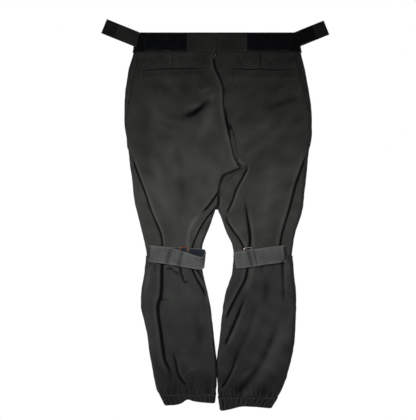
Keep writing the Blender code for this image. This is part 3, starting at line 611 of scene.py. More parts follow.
def tube(
    name: str, path: Array, normal: Array, radius: float, finish: Finish, sides: int = 14
) -> Piece:
    """Sweeps a circle round a closed flat path; `normal` stands square to the path's plane."""
    ahead = np.roll(path, -1, 0) - np.roll(path, 1, 0)
    ahead /= np.linalg.norm(ahead, axis=1)[:, None]
    out = np.cross(ahead, normal)
    angle = np.linspace(0, math.tau, sides, endpoint=False)
    ring = path[:, None] + radius * (
        np.cos(angle)[:, None] * out[:, None] + np.sin(angle)[:, None] * np.asarray(normal)
    )
    count = len(path)
    number = np.arange(count * sides).reshape(count, sides)
    ahead_number, side_number = np.roll(number, -1, 0), np.roll(number, -1, 1)
    both = np.roll(ahead_number, -1, 1)
    faces = np.stack([number, side_number, both, ahead_number], -1).reshape(-1, 4)
    return show(name, ring.reshape(-1, 3), faces, finish)


# Finishes ---------------------------------------------------------------------------


def linear(code: str) -> tuple[float, float, float, float]:
    """Turns an sRGB colour such as '#2b2b29' to linear RGBA."""
    parts = np.array([int(code[i:i + 2], 16) for i in (1, 3, 5)]) / 255
    low, high = parts / 12.92, ((parts + 0.055) / 1.055) ** 2.4
    return (*(float(v) for v in np.where(parts <= 0.04045, low, high)), 1.0)


def node(tree: Tree, kind: str, inputs: dict | None = None, **settings) -> bpy.types.Node:
    """Adds a node with its settings, values and links.

    Args:
        tree: The material's node tree.
        kind: The node's type.
        inputs: Socket name or number to a value, or to another node's output.
        settings: The node's own settings.

    Returns:
        The node.
    """
    made = tree.nodes.new(kind)
    for key, value in settings.items():
        setattr(made, key, value)
    for key, value in (inputs or {}).items():
        if isinstance(value, Socket):
            tree.links.new(value, made.inputs[key])
        else:
            made.inputs[key].default_value = value
    return made


def new_material(name: str) -> tuple[Finish, Tree, bpy.types.Node]:
    """Makes an empty material and its Principled shader."""
    material = bpy.data.materials.new(name)
    material.use_nodes = True
    tree = material.node_tree
    tree.nodes.clear()
    shader = node(tree, "ShaderNodeBsdfPrincipled")
    node(tree, "ShaderNodeOutputMaterial", {"Surface": shader.outputs["BSDF"]})
    return material, tree, shader


def times_plus(tree: Tree, value: Socket, factor: float, rest: float | Socket) -> Socket:
    """Returns value times factor plus rest."""
    made = node(tree, "ShaderNodeMath", {0: value, 1: factor, 2: rest}, operation="MULTIPLY_ADD")
    return made.outputs[0]


class Weave(Enum):
    """How the threads cross: a diagonal rib, straight ribs one way, or both ways."""

    TWILL = 1
    RIBBED = 2
    PLAIN = 3


@dataclass(frozen=True)
class Cloth:
    """A woven cloth.

    The eye sees the rib of the weave, soft fading where it has been rubbed and washed, and a dull
    bloom of loose fibre at a low angle. The tone attribute also brings painted shade and painted
    highlights of the folds.
    """

    name: str
    dark: str  # colour at the darkest tone: painted shade deep in a crease
    light: str  # colour at the lightest tone: where it has faded, and painted highlights on ridges
    weave: Weave = Weave.TWILL
    rib: float = 4.4 * MM  # real twill has a rib of about 0.8 mm, too fine to show, so it is drawn coarser
    contrast: float = 0.28  # how much the rib changes the lightness
    slant: float = -58.0  # degrees
    mottle: float = 0.20  # uneven fading, over about 60 mm
    fuzz: float = 0.30  # speckle of single fibres
    grain: float = 2.0 * MM  # size of the speckle
    relief: float = 0.25 * MM  # height of the rib
    roughness: float = 0.92
    sheen: float = 0.05

    def rib_wave(self, tree: Tree, lengths: Socket, angle: float) -> Socket:
        """Returns a sine across the ribs, 0 to 1. A wave's bands repeat every tau / 20 / scale."""
        turned = node(
            tree, "ShaderNodeMapping", {0: lengths, "Rotation": (0, 0, math.radians(angle))}
        )
        wave = node(
            tree, "ShaderNodeTexWave",
            {0: turned.outputs[0], "Scale": math.tau / 20 / self.rib, "Distortion": 1.6,
             "Detail": 2.0, "Detail Scale": 1.5},
        )
        return wave.outputs["Fac"]

    def material(self) -> Finish:
        """Makes the material: lightness = tone (fading, painted shade and painted highlights) + rib + mottle +
        speckle, which also lifts the surface.
        """
        material, tree, shader = new_material(self.name)
        lengths = node(tree, "ShaderNodeUVMap", uv_map="cloth").outputs[0]
        place = node(tree, "ShaderNodeTexCoord").outputs["Object"]
        tone = node(tree, "ShaderNodeAttribute", attribute_name="tone").outputs["Fac"]
        broad = node(tree, "ShaderNodeTexNoise", {0: place, "Scale": 1 / 0.06, "Detail": 3.0}).outputs[0]
        fine = node(tree, "ShaderNodeTexNoise", {0: place, "Scale": 1 / self.grain, "Detail": 2.0}).outputs[0]
        angles = {Weave.TWILL: (self.slant,), Weave.RIBBED: (0.0,), Weave.PLAIN: (0.0, 90.0)}[self.weave]
        middle = 0.5 - (self.mottle + self.fuzz + self.contrast * len(angles)) / 2
        value = times_plus(tree, tone, 0.62, middle)
        value = times_plus(tree, broad, self.mottle, value)
        value = times_plus(tree, fine, self.fuzz, value)
        height = fine
        for angle in angles:
            rib = self.rib_wave(tree, lengths, angle)
            value = times_plus(tree, rib, self.contrast, value)
            height = times_plus(tree, rib, 1.0, height)
        colour = node(
            tree, "ShaderNodeMix", {0: value, 6: linear(self.dark), 7: linear(self.light)},
            data_type="RGBA", clamp_factor=True,
        ).outputs[2]
        bump = node(tree, "ShaderNodeBump", {"Height": height, "Distance": self.relief, "Strength": 0.8})
        tree.links.new(colour, shader.inputs["Base Color"])
        tree.links.new(bump.outputs[0], shader.inputs["Normal"])
        shader.inputs["Roughness"].default_value = self.roughness
        shader.inputs["Sheen Weight"].default_value = self.sheen
        shader.inputs["Sheen Roughness"].default_value = 0.5
        shader.inputs["Specular IOR Level"].default_value = 0.1
        return material


@dataclass(frozen=True)
class Solid:
    """A hard material: drawn wire, plated metal or moulded plastic.

    The eye sees its highlight, broken up by fine handling marks.
    """

    name: str
    colour: str
    worn: str  # colour of the rubbed patches
    roughness: float
    metallic: float = 1.0
    marks: float = 1.5 * MM  # size of the handling marks

    def material(self) -> Finish:
        """Makes the material: one noise fades the colour, changes the gloss and lifts the surface."""
        material, tree, shader = new_material(self.name)
        place = node(tree, "ShaderNodeTexCoord").outputs["Object"]
        noise = node(tree, "ShaderNodeTexNoise", {0: place, "Scale": 1 / self.marks, "Detail": 4.0}).outputs[0]
        colour = node(
            tree, "ShaderNodeMix", {0: noise, 6: linear(self.colour), 7: linear(self.worn)},
            data_type="RGBA",
        ).outputs[2]
        rough = times_plus(tree, noise, 0.25, self.roughness - 0.1)
        bump = node(tree, "ShaderNodeBump", {"Height": noise, "Distance": 0.05 * MM, "Strength": 0.4})
        tree.links.new(colour, shader.inputs["Base Color"])
        tree.links.new(rough, shader.inputs["Roughness"])
        tree.links.new(bump.outputs[0], shader.inputs["Normal"])
        shader.inputs["Metallic"].default_value = self.metallic
        return material


class Finishes:
    """Every material of the trousers, each named for what it is."""

    def __init__(self) -> None:
        """Makes the materials."""
        self.twill = Cloth("washed_black_twill", "#020202", "#4a4a48").material()
        self.lower_twill = Cloth("washed_black_twill_lower_leg", "#020202", "#3f413f").material()
        self.band_twill = Cloth(
            "waistband_twill", "#121212", "#424240", contrast=0.14, mottle=0.25
        ).material()
        self.edge_twill = Cloth(
            "folded_twill", "#060606", "#161616", contrast=0.06, mottle=0.2, fuzz=0.12
        ).material()
        self.pile = Cloth(
            "brushed_loop_pile", "#050608", "#17191d", Weave.PLAIN, rib=3.2 * MM, contrast=0.12,
            fuzz=0.9, grain=2.6 * MM, relief=0.6 * MM, roughness=1.0, sheen=0.05,
        ).material()
        self.hooks = Cloth(
            "moulded_hook_tape", "#0f0f10", "#323235", Weave.PLAIN, rib=3.0 * MM, contrast=0.35,
            fuzz=0.5, relief=0.5 * MM, roughness=0.6, sheen=0.0,
        ).material()
        self.webbing = Cloth(
            "faded_cotton_webbing", "#171817", "#6b6d6b", rib=3.4 * MM, contrast=0.45, slant=38,
            mottle=0.5, fuzz=0.6, relief=0.7 * MM, roughness=0.97, sheen=0.3,
        ).material()
        self.lining = Cloth(
            "plain_black_lining", "#0b0c0e", "#222429", Weave.PLAIN, rib=3.0 * MM, contrast=0.1,
            relief=0.1 * MM, roughness=0.85,
        ).material()
        self.strap_lining = Cloth(
            "blue_black_strap_lining", "#101318", "#2b303a", Weave.PLAIN, rib=3.0 * MM,
            contrast=0.2, fuzz=0.5, relief=0.3 * MM, roughness=0.95,
        ).material()
        self.elastic = Cloth(
            "braided_elastic", "#8d8c86", "#c9c8c2", Weave.RIBBED, rib=3.0 * MM, contrast=0.5,
            relief=0.5 * MM,
        ).material()
        self.label = Cloth(
            "satin_label", "#b9b8b2", "#dcdbd6", Weave.RIBBED, rib=2.8 * MM, contrast=0.15,
            relief=0.05 * MM, roughness=0.5,
        ).material()
        self.tape = Cloth(
            "zip_tape", "#0d0d0d", "#262627", Weave.RIBBED, rib=2.6 * MM, contrast=0.3
        ).material()
        self.thread = Cloth(
            "sewing_thread", "#2c2c2b", "#74746f", Weave.RIBBED, rib=1.2 * MM, contrast=0.4,
            relief=0.1 * MM, roughness=0.7,
        ).material()
        self.copper = Solid("copper_plated_wire", "#6d4229", "#9a6848", 0.4).material()
        self.nickel = Solid("rose_nickel_wire", "#a88d86", "#d3c0ba", 0.35).material()
        self.dark_metal = Solid("dark_plated_zip_metal", "#45423e", "#7d776f", 0.35).material()
        self.button = Solid("moulded_button_plastic", "#101010", "#2a2a2a", 0.4, metallic=0.0).material()


# What each piece stands for ---------------------------------------------------------

BODY_OF = {
    name: body for body, names in frame["record"]["behaviour"]["bodies"].items() for name in names
}


def stand_in(piece: Piece, *nodes: str, rides: bool = True) -> Piece:
    """Lets a piece stand for frame nodes: it hides them and, unless rides is false, rides on their body."""
    if rides:
        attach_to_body(piece, BODY_OF[nodes[0]])
    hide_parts(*nodes)
    log.info("%s stands for %s", piece.name, ", ".join(nodes))
    return piece


def attach(piece: Piece, body: str) -> Piece:
    """Lets an added piece ride on a body."""
    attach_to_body(piece, body)
    log.info("%s rides on %s", piece.name, body)
    return piece


def quad(name: str) -> Array:
    """Returns a flat node's four corners as (x, z): inner top, outer top, outer bottom, inner bottom."""
    points = np.unique(np.round(node_points(name)[:, [0, 2]], 6), axis=0)
    points = points[np.argsort(np.abs(points[:, 0]))]
    if len(points) != 4:
        low, high = (np.array(c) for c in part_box(name))
        near, far = sorted((low[0], high[0]), key=abs)
        return np.array([(near, high[2]), (far, high[2]), (far, low[2]), (near, low[2])])
    inner, outer = (pair[np.argsort(-pair[:, 1])] for pair in (points[:2], points[2:]))
    return np.array([inner[0], outer[0], outer[1], inner[1]])


def flat_sheet(
    name: str, source: str, finish: Finish, *, facing: int = -1, edge: float = 0.8 * MM,
    wrinkle: float = 0.25 * MM, seed: int = 5, pitch: float = 2.6 * MM, belly: float = 0.0,
    inset: float = 0.0,
) -> Piece:
    """Makes a soft flat piece in the place of a flat node: a patch stretched over its corners.

    Args:
        name: The piece's name.
        source: The frame node.
        finish: Its material.
        facing: -1 if its good side faces back, 1 if it faces the front.
        edge: Radius of its edges.
        wrinkle: Height of its waves.
        seed: For the waves.
        pitch: The grid's step.
        belly: How far its middle stands out.
        inset: How far it lies in front of its node.

    Returns:
        The piece.
    """
    corners = quad(source)
    low, high = (float(corner[1]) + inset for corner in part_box(source))
    face, back = (low, high) if facing < 0 else (high, low)
    width = np.linalg.norm(corners[1] - corners[0])
    length = np.linalg.norm(corners[3] - corners[0])
    u = spread(max(int(width / pitch), 8))[None, :, None]
    v = spread(max(int(length / pitch), 8))[:, None, None]
    place = (1 - v) * ((1 - u) * corners[0] + u * corners[1]) + v * ((1 - u) * corners[3] + u * corners[2])
    u, v = u[..., 0] + 0 * v[..., 0], v[..., 0] + 0 * u[..., 0]
    fall = rolled(u * width, edge) + rolled((1 - u) * width, edge)
    fall += rolled(v * length, edge) + rolled((1 - v) * length, edge)
    wave = wrinkle * soft_noise(place[..., 0], place[..., 1], 0.035, seed)
    wave += belly * np.sin(math.pi * u) * np.sin(math.pi * v)
    thick = max(abs(high - low), 1.2 * MM)
    outer_y = face + facing * wave - facing * np.minimum(fall, 0.45 * thick)
    inner_y = face + facing * wave - facing * (thick - np.minimum(fall, 0.3 * thick))
    outer = np.stack([place[..., 0], outer_y, place[..., 1]], -1)
    inner = np.stack([place[..., 0], inner_y, place[..., 1]], -1)
    # Painted highlight on the wave crests, painted shade in the dips and on the turned edges
    tone = 0.5 * wave / max(wrinkle, MM / 10) * 0.3 - 0.3 * fall / MM
    return slab(name, outer, inner, finish, np.stack([u * width, v * length], -1), tone)


# Seams and folds, in millimetres -----------------------------------------------------

BAND_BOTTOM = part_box("waistband_back_left")[0][2]
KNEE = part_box("back_panel_left")[0][2]
APEX = -298 * MM  # where the side panel's wedge starts, on the outer edge
# The side seam from the waist to the pleat: height, mm past the flat's end, share of the way
# round the outer edge
HIP_SEAM = ((0.0, -5, 0), (-0.15, -5, 0), (-0.23, 8, 0), (APEX, 0, 0.5), (-0.322, 0, 0.17))

CENTRE_CREASE = (
    (-2, -52), (-8, -70), (-5, -95), (7, -121), (17, -151), (19, -189), (25, -235), (32, -267),
    (42, -305), (50, -337),
)
LEFT_EDGE = CENTRE_CREASE + (
    (57, -355), (61, -362), (45, -369), (20, -379), (9, -395), (5, -410), (2, -430), (1, -451),
    (-1, -464), (-12, -479), (-32, -505), (-64, -570), (-74, -602),
)
RIGHT_EDGE = CENTRE_CREASE + (
    (62, -352), (80, -363), (72, -383), (51, -424), (39, -459), (25, -488), (27, -505), (41, -529),
    (60, -555), (70, -576), (72, -602),
)
GUSSET_GAP = (
    (69, -362), (67, -370), (47, -383), (29, -400), (21, -417), (12, -436), (4, -458), (0, -474),
)
PLEATS = {
    Side.LEFT: (
        (-225, -343), (-205, -397), (-197, -418), (-174, -485), (-149, -548), (-148, -568),
        (-146, -602),
    ),
    Side.RIGHT: ((235, -343), (214, -400), (195, -472), (180, -523), (170, -567), (168, -602)),
}
FRONT_EDGE = (
    (6.5, -52), (6.5, -206), (4.2, -213), (4.2, -222), (0.5, -230),
    (0.5, -325), (10, -350), (26, -392), (36, -430),
    (44, -480), (61, -602),
)
HEMS = {
    Side.LEFT: ((-140, -1004), (-93, -996), (-81, -988), (-63, -992), (-7, -998)),
    Side.RIGHT: ((14, -1018), (39, -1013), (62, -1007), (96, -1007), (143, -1011)),
}
WELTS = {
    Side.LEFT: ((-205, -103), (-36, -97), (-207, -125), (-32, -115)),
    Side.RIGHT: ((204, -103), (30, -99), (206, -124), (30, -122)),
}

BACK_FOLDS = (
    Fold(((2, -158), (-20, -180), (-56, -199), (-92, -205)), -3.2, 7, shade=-0.55, ends=(0.25, 0.4)),
    Fold(((-10, -178), (-52, -208), (-92, -228), (-150, -224)), 2.4, 15, shade=0.24, ends=(0.15, 0.5)),
    Fold(((-10, -192), (-20, -222), (-34, -262), (-48, -300)), -1.6, 15, shade=-0.28, ends=(0.2, 0.4)),
    # The next two have no depth: a broad stretch drawn darker, then one drawn lighter
    Fold(((-196, -190), (-190, -300), (-176, -420)), 0.0, 34, shade=0.13, ends=(0.3, 0.4)),
    Fold(((-120, -336), (-60, -352), (14, -346)), 0.0, 30, shade=-0.2, ends=(0.3, 0.3)),
    Fold(((-8, -172), (-38, -194), (-65, -218), (-95, -224)), 3.0, 8, shade=0.55, ends=(0.2, 0.4)),
    Fold(((-6, -146), (-30, -155), (-48, -160)), -1.6, 5, shade=-0.3),
    Fold(((225, -172), (171, -192), (118, -216)), 2.0, 13, shade=0.3, ends=(0.2, 0.5)),
    Fold(((30, -228), (39, -267), (47, -305), (53, -340)), 3.5, 6, shade=0.9, ends=(0.4, 0.1)),
    Fold(((54, -338), (66, -350), (78, -357)), -2.6, 6, shade=-0.45),
    Fold(((-2, -52), (-8, -70), (-5, -95), (7, -121), (17, -151), (19, -189)), 1.5, 3.5, 2.0, 26,
         -1, 0.9, (0.02, 0.2)),
    Fold(((17, -151), (19, -189), (25, -235), (32, -267), (42, -305), (50, -337), (60, -360)),
         1.5, 4.0, 2.6, 30, -1, 1.0, (0.1, 0.02)),
    Fold(((76, -352), (80, -363), (72, -383), (51, -424), (39, -459), (25, -488)), 1.5, 3, 2.0, 26,
         1, 0.9, (0.1, 0.1)),
    Fold(((25, -488), (27, -505), (41, -529), (60, -555), (71, -576), (72, -602)), 2.0, 3.0, 1.5,
         18, 1, 0.95, (0.2, 0.02)),
    Fold(((72, -430), (76, -460), (83, -504), (89, -551), (86, -600)), 3.4, 4.2, 2.0, 26, 1, 1.2,
         (0.7, 0.02)),
    Fold(((6, -424), (-11, -450), (-23, -466), (-43, -487)), 2.0, 3.0, 1.5, 16, -1, 1.1, (0.02, 0.3)),
    Fold(((-40, -486), (-58, -505), (-72, -532), (-77, -590)), -2.4, 6, shade=-0.42, ends=(0.2, 0.1)),
    Fold(((-1, -464), (-12, -479), (-32, -505), (-64, -570), (-74, -602)), 1.8, 2.6, 1.2, 14, -1,
         0.9, (0.1, 0.02)),
    Fold(((-232, -321), (-225, -343), (-205, -397), (-197, -418), (-174, -485), (-149, -548),
          (-146, -602)), 1.8, 2.8, 2.2, 20, 1, 0.95, (0.15, 0.02)),
    Fold(((246, -315), (235, -343), (214, -400), (195, -472), (180, -523), (170, -567),
          (168, -602)), 1.8, 4.2, 2.0, 24, -1, 0.75, (0.15, 0.02)),
    Fold(((-158, -330), (-150, -420), (-118, -520)), -1.6, 16, shade=-0.12),
    Fold(((150, -330), (140, -430), (124, -560)), -1.8, 18, shade=-0.15),
    Fold(((-110, -300), (-96, -380), (-88, -470)), 1.6, 14, shade=0.12),
    Fold(((-172, -230), (-130, -250), (-70, -262)), 1.8, 12, shade=0.18, ends=(0.4, 0.4)),
    Fold(((90, -240), (140, -262), (190, -262)), -1.4, 14, shade=-0.15, ends=(0.4, 0.4)),
    Fold(((-119, -54), (-119, -97)), 0.9, 1.8, shade=0.35, ends=(0.05, 0.1)),
    Fold(((117, -54), (117, -97)), 0.9, 1.8, shade=0.35, ends=(0.05, 0.1)),
)
LOWER_FOLDS = (
    Fold(((-147, -612), (-148, -637), (-149, -686), (-151, -710), (-157, -726), (-156, -770),
          (-152, -795), (-146, -842), (-139, -884), (-127, -909), (-122, -940)), 4.2, 4.4, 2.6, 22,
         -1, 1.25, (0.02, 0.25)),
    Fold(((-118, -855), (-110, -890), (-105, -915), (-82, -950)), 2.0, 3.2, 1.4, 16, 1, 0.8,
         (0.3, 0.15)),
    Fold(((-142, -629), (-126, -624), (-112, -634), (-100, -642)), -1.8, 4, shade=-0.4),
    Fold(((-138, -637), (-126, -633), (-112, -643), (-98, -651)), 1.4, 3.5, shade=0.4),
    Fold(((-100, -620), (-94, -653), (-84, -671), (-70, -662)), 2.0, 3.0, 1.0, 12, 1, 0.7,
         (0.02, 0.3)),
    Fold(((-73, -620), (-53, -664), (-36, -694), (-30, -712)), 2.6, 3.2, 1.4, 14, 1, 1.0,
         (0.02, 0.2)),
    Fold(((-60, -628), (-45, -650), (-33, -668)), 2.0, 2.6, shade=0.9, ends=(0.05, 0.2)),
    Fold(((-156, -720), (-140, -716), (-120, -724)), 1.3, 4, shade=0.35, ends=(0.02, 0.6)),
    Fold(((-176, -625), (-188, -668), (-192, -740)), -1.8, 9, shade=-0.3, ends=(0.1, 0.4)),
    Fold(((84, -606), (82, -634), (76, -662), (57, -699), (36, -740), (22, -772)), 2.4, 3.6, 2.4,
         22, -1, 1.15, (0.02, 0.12)),
    Fold(((78, -700), (57, -756), (39, -799), (20, -842)), 3.0, 4.2, 2.0, 22, 1, 1.0, (0.45, 0.1)),
    Fold(((60, -840), (39, -909), (12, -958)), 2.0, 3.2, 1.6, 20, 1, 0.75, (0.7, 0.1)),
    Fold(((112, -700), (88, -790), (52, -868), (22, -930)), 2.0, 11, shade=0.25, ends=(0.4, 0.3)),
    Fold(((128, -640), (132, -700), (120, -740)), 2.0, 14, shade=0.25, ends=(0.4, 0.4)),
    Fold(((60, -930), (84, -915), (104, -890)), -1.4, 5, shade=-0.3, ends=(0.3, 0.4)),
    Fold(((-90, -930), (-70, -905), (-40, -902)), -1.2, 5, shade=-0.25, ends=(0.3, 0.4)),
    Fold(((-40, -640), (-24, -720), (-14, -800), (-10, -880)), -1.4, 4, shade=-0.25, ends=(0.3, 0.3)),
    Fold(((171, -750), (143, -833), (115, -891), (87, -930), (50, -976)), 3.2, 11, 2.4, 34, 1,
         0.3, (0.35, 0.1)),
    Fold(((176, -600), (178, -680), (180, -740)), 1.8, 3.4, 1.4, 20, 1, 0.55, (0.05, 0.4)),
    Fold(((100, -610), (92, -660), (72, -705)), -2.6, 9, shade=-0.35, ends=(0.1, 0.4)),
    Fold(((120, -730), (96, -790), (70, -860)), -1.8, 14, shade=-0.2, ends=(0.4, 0.4)),
    Fold(((-188, -710), (-180, -800), (-160, -900)), -1.6, 12, shade=-0.15, ends=(0.3, 0.3)),
    Fold(((-60, -720), (-48, -800), (-40, -900)), 1.4, 14, shade=0.15, ends=(0.4, 0.4)),
    # The last three have no depth: broad stretches drawn darker across the lower shins, then lighter higher up
    Fold(((-140, -965), (-70, -955), (4, -965)), 0.0, 62, shade=0.2, ends=(0.1, 0.02)),
    Fold(((4, -965), (110, -955), (230, -935)), 0.0, 62, shade=0.2, ends=(0.02, 0.02)),
    Fold(((-150, -690), (-90, -700), (-30, -690)), 0.0, 46, shade=-0.13, ends=(0.2, 0.2)),
)


def slanted_wrinkles(side: Side, seed: int, count: int = 15) -> tuple[Fold, ...]:
    """Returns short creases that run down and inwards from the waistband and the welt."""
    rng = np.random.default_rng(seed)
    made = []
    for share in np.linspace(0.1, 0.95, count):
        x, z = side.value * (28 + 185 * share), rng.uniform(-72, -58)
        run, drop = rng.uniform(8, 20), rng.uniform(14, 26)
        path = ((x, z), (x + side.value * run * 0.4, z - drop * 0.5), (x + side.value * run, z - drop))
        made.append(Fold(path, rng.uniform(0.5, 1.1), rng.uniform(2.6, 4.2), shade=0.15, ends=(0.4, 0.4)))
    for share in np.linspace(0.05, 0.9, count):
        x, z = side.value * (36 + 165 * share), rng.uniform(-136, -128)
        drop = rng.uniform(18, 46)
        path = ((x, z), (x - side.value * 4, z - drop * 0.5), (x - side.value * 10, z - drop))
        made.append(Fold(path, rng.uniform(0.4, 1.0), rng.uniform(3, 5), shade=0.12, ends=(0.25, 0.6)))
    return tuple(made)


def puckers(line: float, pitch: float, height: float, reach: float) -> Callable[[Array, Array], Array]:
    """Returns the small upright waves that a line of sewing at that height draws up."""

    def wave(x: Array, z: Array) -> Array:
        """A cosine along the seam whose phase wanders, dying out away from the seam."""
        wander = 1.6 * soft_noise(x, z, 0.05, 31)
        near = np.exp(-np.abs(z - line) / reach)
        return height * near * np.cos(math.tau * x / pitch + wander)

    return wave


def seat_puckers(x: Array, z: Array) -> Array:
    """Sums the puckers of the waist seam and of both sewn edges of the welt."""
    total = puckers(BAND_BOTTOM, 8.5 * MM, 0.35 * MM, 6 * MM)(x, z)
    inside = smooth((np.abs(x) - 28 * MM) / (6 * MM)) * smooth((208 * MM - np.abs(x)) / (6 * MM))
    total += inside * puckers(-97 * MM, 7.2 * MM, 0.5 * MM, 6 * MM)(x, z)
    return total + inside * puckers(-121 * MM, 7.8 * MM, 0.6 * MM, 8 * MM)(x, z)


def front_folds(side: Side) -> tuple[Fold, ...]:
    """Returns the folds of one side of the front, mirrored for the other."""
    s = side.value
    rng = np.random.default_rng(60 + s)
    made = [
        Fold(((s * 82, -54), (s * 120, -120), (s * 160, -190), (s * 200, -230)), 1.8, 2.6, 1.0, 12, s, 0.8,
             (0.02, 0.05)),  # the slanted pocket's mouth
        Fold(((s * 12, -220), (s * 40, -250), (s * 90, -268)), 2.0, 6, 1.2, 20, s, 0.5, (0.1, 0.5)),
        Fold(((s * 10, -260), (s * 34, -300), (s * 60, -330)), 1.6, 6, 1.2, 20, s, 0.4, (0.1, 0.5)),
        Fold(((s * 60, -400), (s * 100, -470), (s * 110, -560)), -2.0, 14, shade=-0.2, ends=(0.4, 0.3)),
        Fold(((s * 170, -330), (s * 150, -430), (s * 150, -540)), 1.8, 12, shade=0.2, ends=(0.4, 0.3)),
    ]
    for _ in range(8):
        x, z = s * rng.uniform(30, 190), rng.uniform(-560, -480)
        made.append(Fold(((x, z), (x + rng.uniform(-14, 14), -600)), 1.6, 5, shade=0.35, ends=(0.7, 0.02)))
    return tuple(made)


# Soft pieces in place -----------------------------------------------------------------


def level(distance: float) -> Edge:
    """Returns a panel's edge that stays at one distance from the middle."""
    return lambda z: distance + 0 * z


def sewn(
    name: str, surface: Surface, rows: tuple[float, float], start: Edge, stop: Edge, finish: Finish,
    nodes: Sequence[str], rests_on: Sequence[str], held: str = "hung", **shape,
) -> Piece:
    """Args:
        name: The piece's name.
        surface: Where the cloth lies.
        rows: Its top and bottom.
        start: The arc position of its first seam at each height.
        stop: The arc position of its last seam.
        finish: Its material.
        nodes: The frame nodes that it stands for; with none it is an extra ply of the trousers.
        rests_on: The pieces that hold it; not used.
        held: How it is held; not used.
        shape: The panel's pitch, edges and thickness.

    Returns:
        The piece.
    """
    piece = panel(name, surface, rows, start, stop, finish, **shape)
    z = np.linspace(rows[1], rows[0], 60)
    across = np.abs(stop(z) - start(z))
    return stand_in(piece, *nodes) if nodes else attach(piece, "trousers")


def laid_flat(name: str, source: str, finish: Finish, rests_on: str, held: str = "laid", **shape) -> Piece:
    """Args:
        name: The piece's name.
        source: The frame node.
        finish: Its material.
        rests_on: The piece that holds it; not used.
        held: How it is held; not used.
        shape: What flat_sheet takes: facing, edge, wrinkle, seed, belly and inset.

    Returns:
        The piece.
    """
    piece = flat_sheet(name, source, finish, **shape)
    corners = quad(source)
    return stand_in(piece, source)


def on_plane(points: Array, facing: float = -1.0) -> Row:
    """Returns a row of stitches' points with normals to the back, or to the front."""
    return points, np.tile((0.0, facing, 0.0), (len(points), 1))


def plane_row(x: Array, y: float, z: Array, facing: float = -1.0) -> Row:
    """Returns a row of stitches on a plane at one y."""
    x, z = np.broadcast_arrays(x, z)
    return on_plane(np.stack([x, np.full(x.shape, y), z], -1), facing)


# Sub-assemblies -----------------------------------------------------------------------


@dataclass
class Seat:
    """One half of the seat with its thigh: back, front and side panels and the inseam gusset."""

    shell: Shell
    finishes: Finishes
    tuck: float = 2.5 * MM  # how far a panel runs on under its neighbour
    step: float = 1.2 * MM  # how far it lies below it
    gap_foot: float = -455 * MM  # where the right gusset's open gap starts to close
    gap_fade: float = 30 * MM

    def seam(self, z: Array) -> Array:
        """Returns the side seam's arc position: just behind the edge, out to the wedge, then the pleat."""
        shell, side = self.shell, self.shell.side
        knots, past, share = np.array(HIP_SEAM).T
        values = shell.sizes(knots)[1] + past * MM + shell.outer_arc(knots) * share
        pleat = np.array(PLEATS[side], float) * MM
        knots = np.concatenate([knots, pleat[:, 1]])
        return hermite(-z, -knots, np.concatenate([values, side.value * pleat[:, 0]]))

    def front_stop(self, z: Array) -> Array:
        """Returns the front panel's outer seam, as seen from the front."""
        seam = self.seam(z)
        return np.where(z > APEX, self.shell.mirrored(seam, z), seam)

    def inner_edge(self, z: Array) -> Array:
        """Returns the back panel's edge along the centre crease and then the gusset."""
        edge = LEFT_EDGE if self.shell.side is Side.LEFT else RIGHT_EDGE
        return across_at(edge, self.shell.side.value)(z)

    def panels(self) -> None:
        """Makes the back panel, and the front panel that runs round the hip to the seam at the back."""
        side, rows = self.shell.side, (BAND_BOTTOM, KNEE)
        folds = BACK_FOLDS + slanted_wrinkles(side, 40 + side.value)
        back = Relief(folds, 11 + side.value, extra=seat_puckers)
        sewn(
            f"back_cloth_{side.word}", Surface(self.shell, back), rows, self.inner_edge, self.seam,
            self.finishes.twill, [f"back_panel_{side.word}"], [f"waistband_back_{side.word}"],
            edges=Edges(start=2.2 * MM, stop=1.8 * MM), pitch=2.3 * MM,
        )
        waist = puckers(BAND_BOTTOM, 9 * MM, 0.3 * MM, 7 * MM)
        front = Relief(front_folds(side), 21 + side.value, extra=waist)
        sewn(
            f"front_cloth_{side.word}", Surface(self.shell, front, front=True), rows,
            across_at(FRONT_EDGE), self.front_stop, self.finishes.twill,
            [f"front_panel_{side.word}"], [f"waistband_front_{side.word}"], pitch=3.2 * MM,
        )

    def side_panel(self) -> None:
        """Makes the wedge round the outer edge, tucked under the pleats of back and front."""
        side = self.shell.side
        surface = Surface(self.shell, Relief(BACK_FOLDS, 31 + side.value), lift=-self.step)
        sewn(
            f"side_cloth_{side.word}", surface, (APEX, KNEE), lambda z: self.seam(z) - self.tuck,
            lambda z: self.shell.mirrored(self.seam(z), z) + self.tuck, self.finishes.twill,
            [f"side_panel_{side.word}"], [f"back_cloth_{side.word}"],
        )

    def gusset_start(self, z: Array) -> Array:
        """Returns the back gusset's edge: the open gap below the seat, then the inseam."""
        inseam = self.shell.inseam(z)
        if self.shell.side is Side.LEFT:
            return inseam
        part = smooth((self.gap_foot - z) / self.gap_fade)
        return across_at(GUSSET_GAP)(z) * (1 - part) + inseam * part

    def gussets(self) -> None:
        """Makes the back and front halves of the inseam gusset, tucked behind the panels."""
        side, front_edge = self.shell.side, across_at(FRONT_EDGE)
        right = side is Side.RIGHT
        for word, front, top, start, inner in (
            ("back", False, -366 if right else -440, self.gusset_start, self.inner_edge),
            ("front", True, -327, self.shell.inseam, front_edge),
        ):
            relief = Relief(() if front else BACK_FOLDS, 51 + side.value)
            sewn(
                f"gusset_{word}_{side.word}",
                Surface(self.shell, relief, Wrap.INNER, -self.step, front), (top * MM, KNEE), start,
                lambda z, inner=inner: inner(z) + self.tuck, self.finishes.twill,
                [f"inseam_gusset_{side.word}"], [f"{word}_cloth_{side.word}"],
                edges=Edges(start=2.5 * MM if right and not front else 0.4 * MM),
            )

    def build(self) -> None:
        """Builds every piece of this half."""
        self.panels()
        self.side_panel()
        self.gussets()


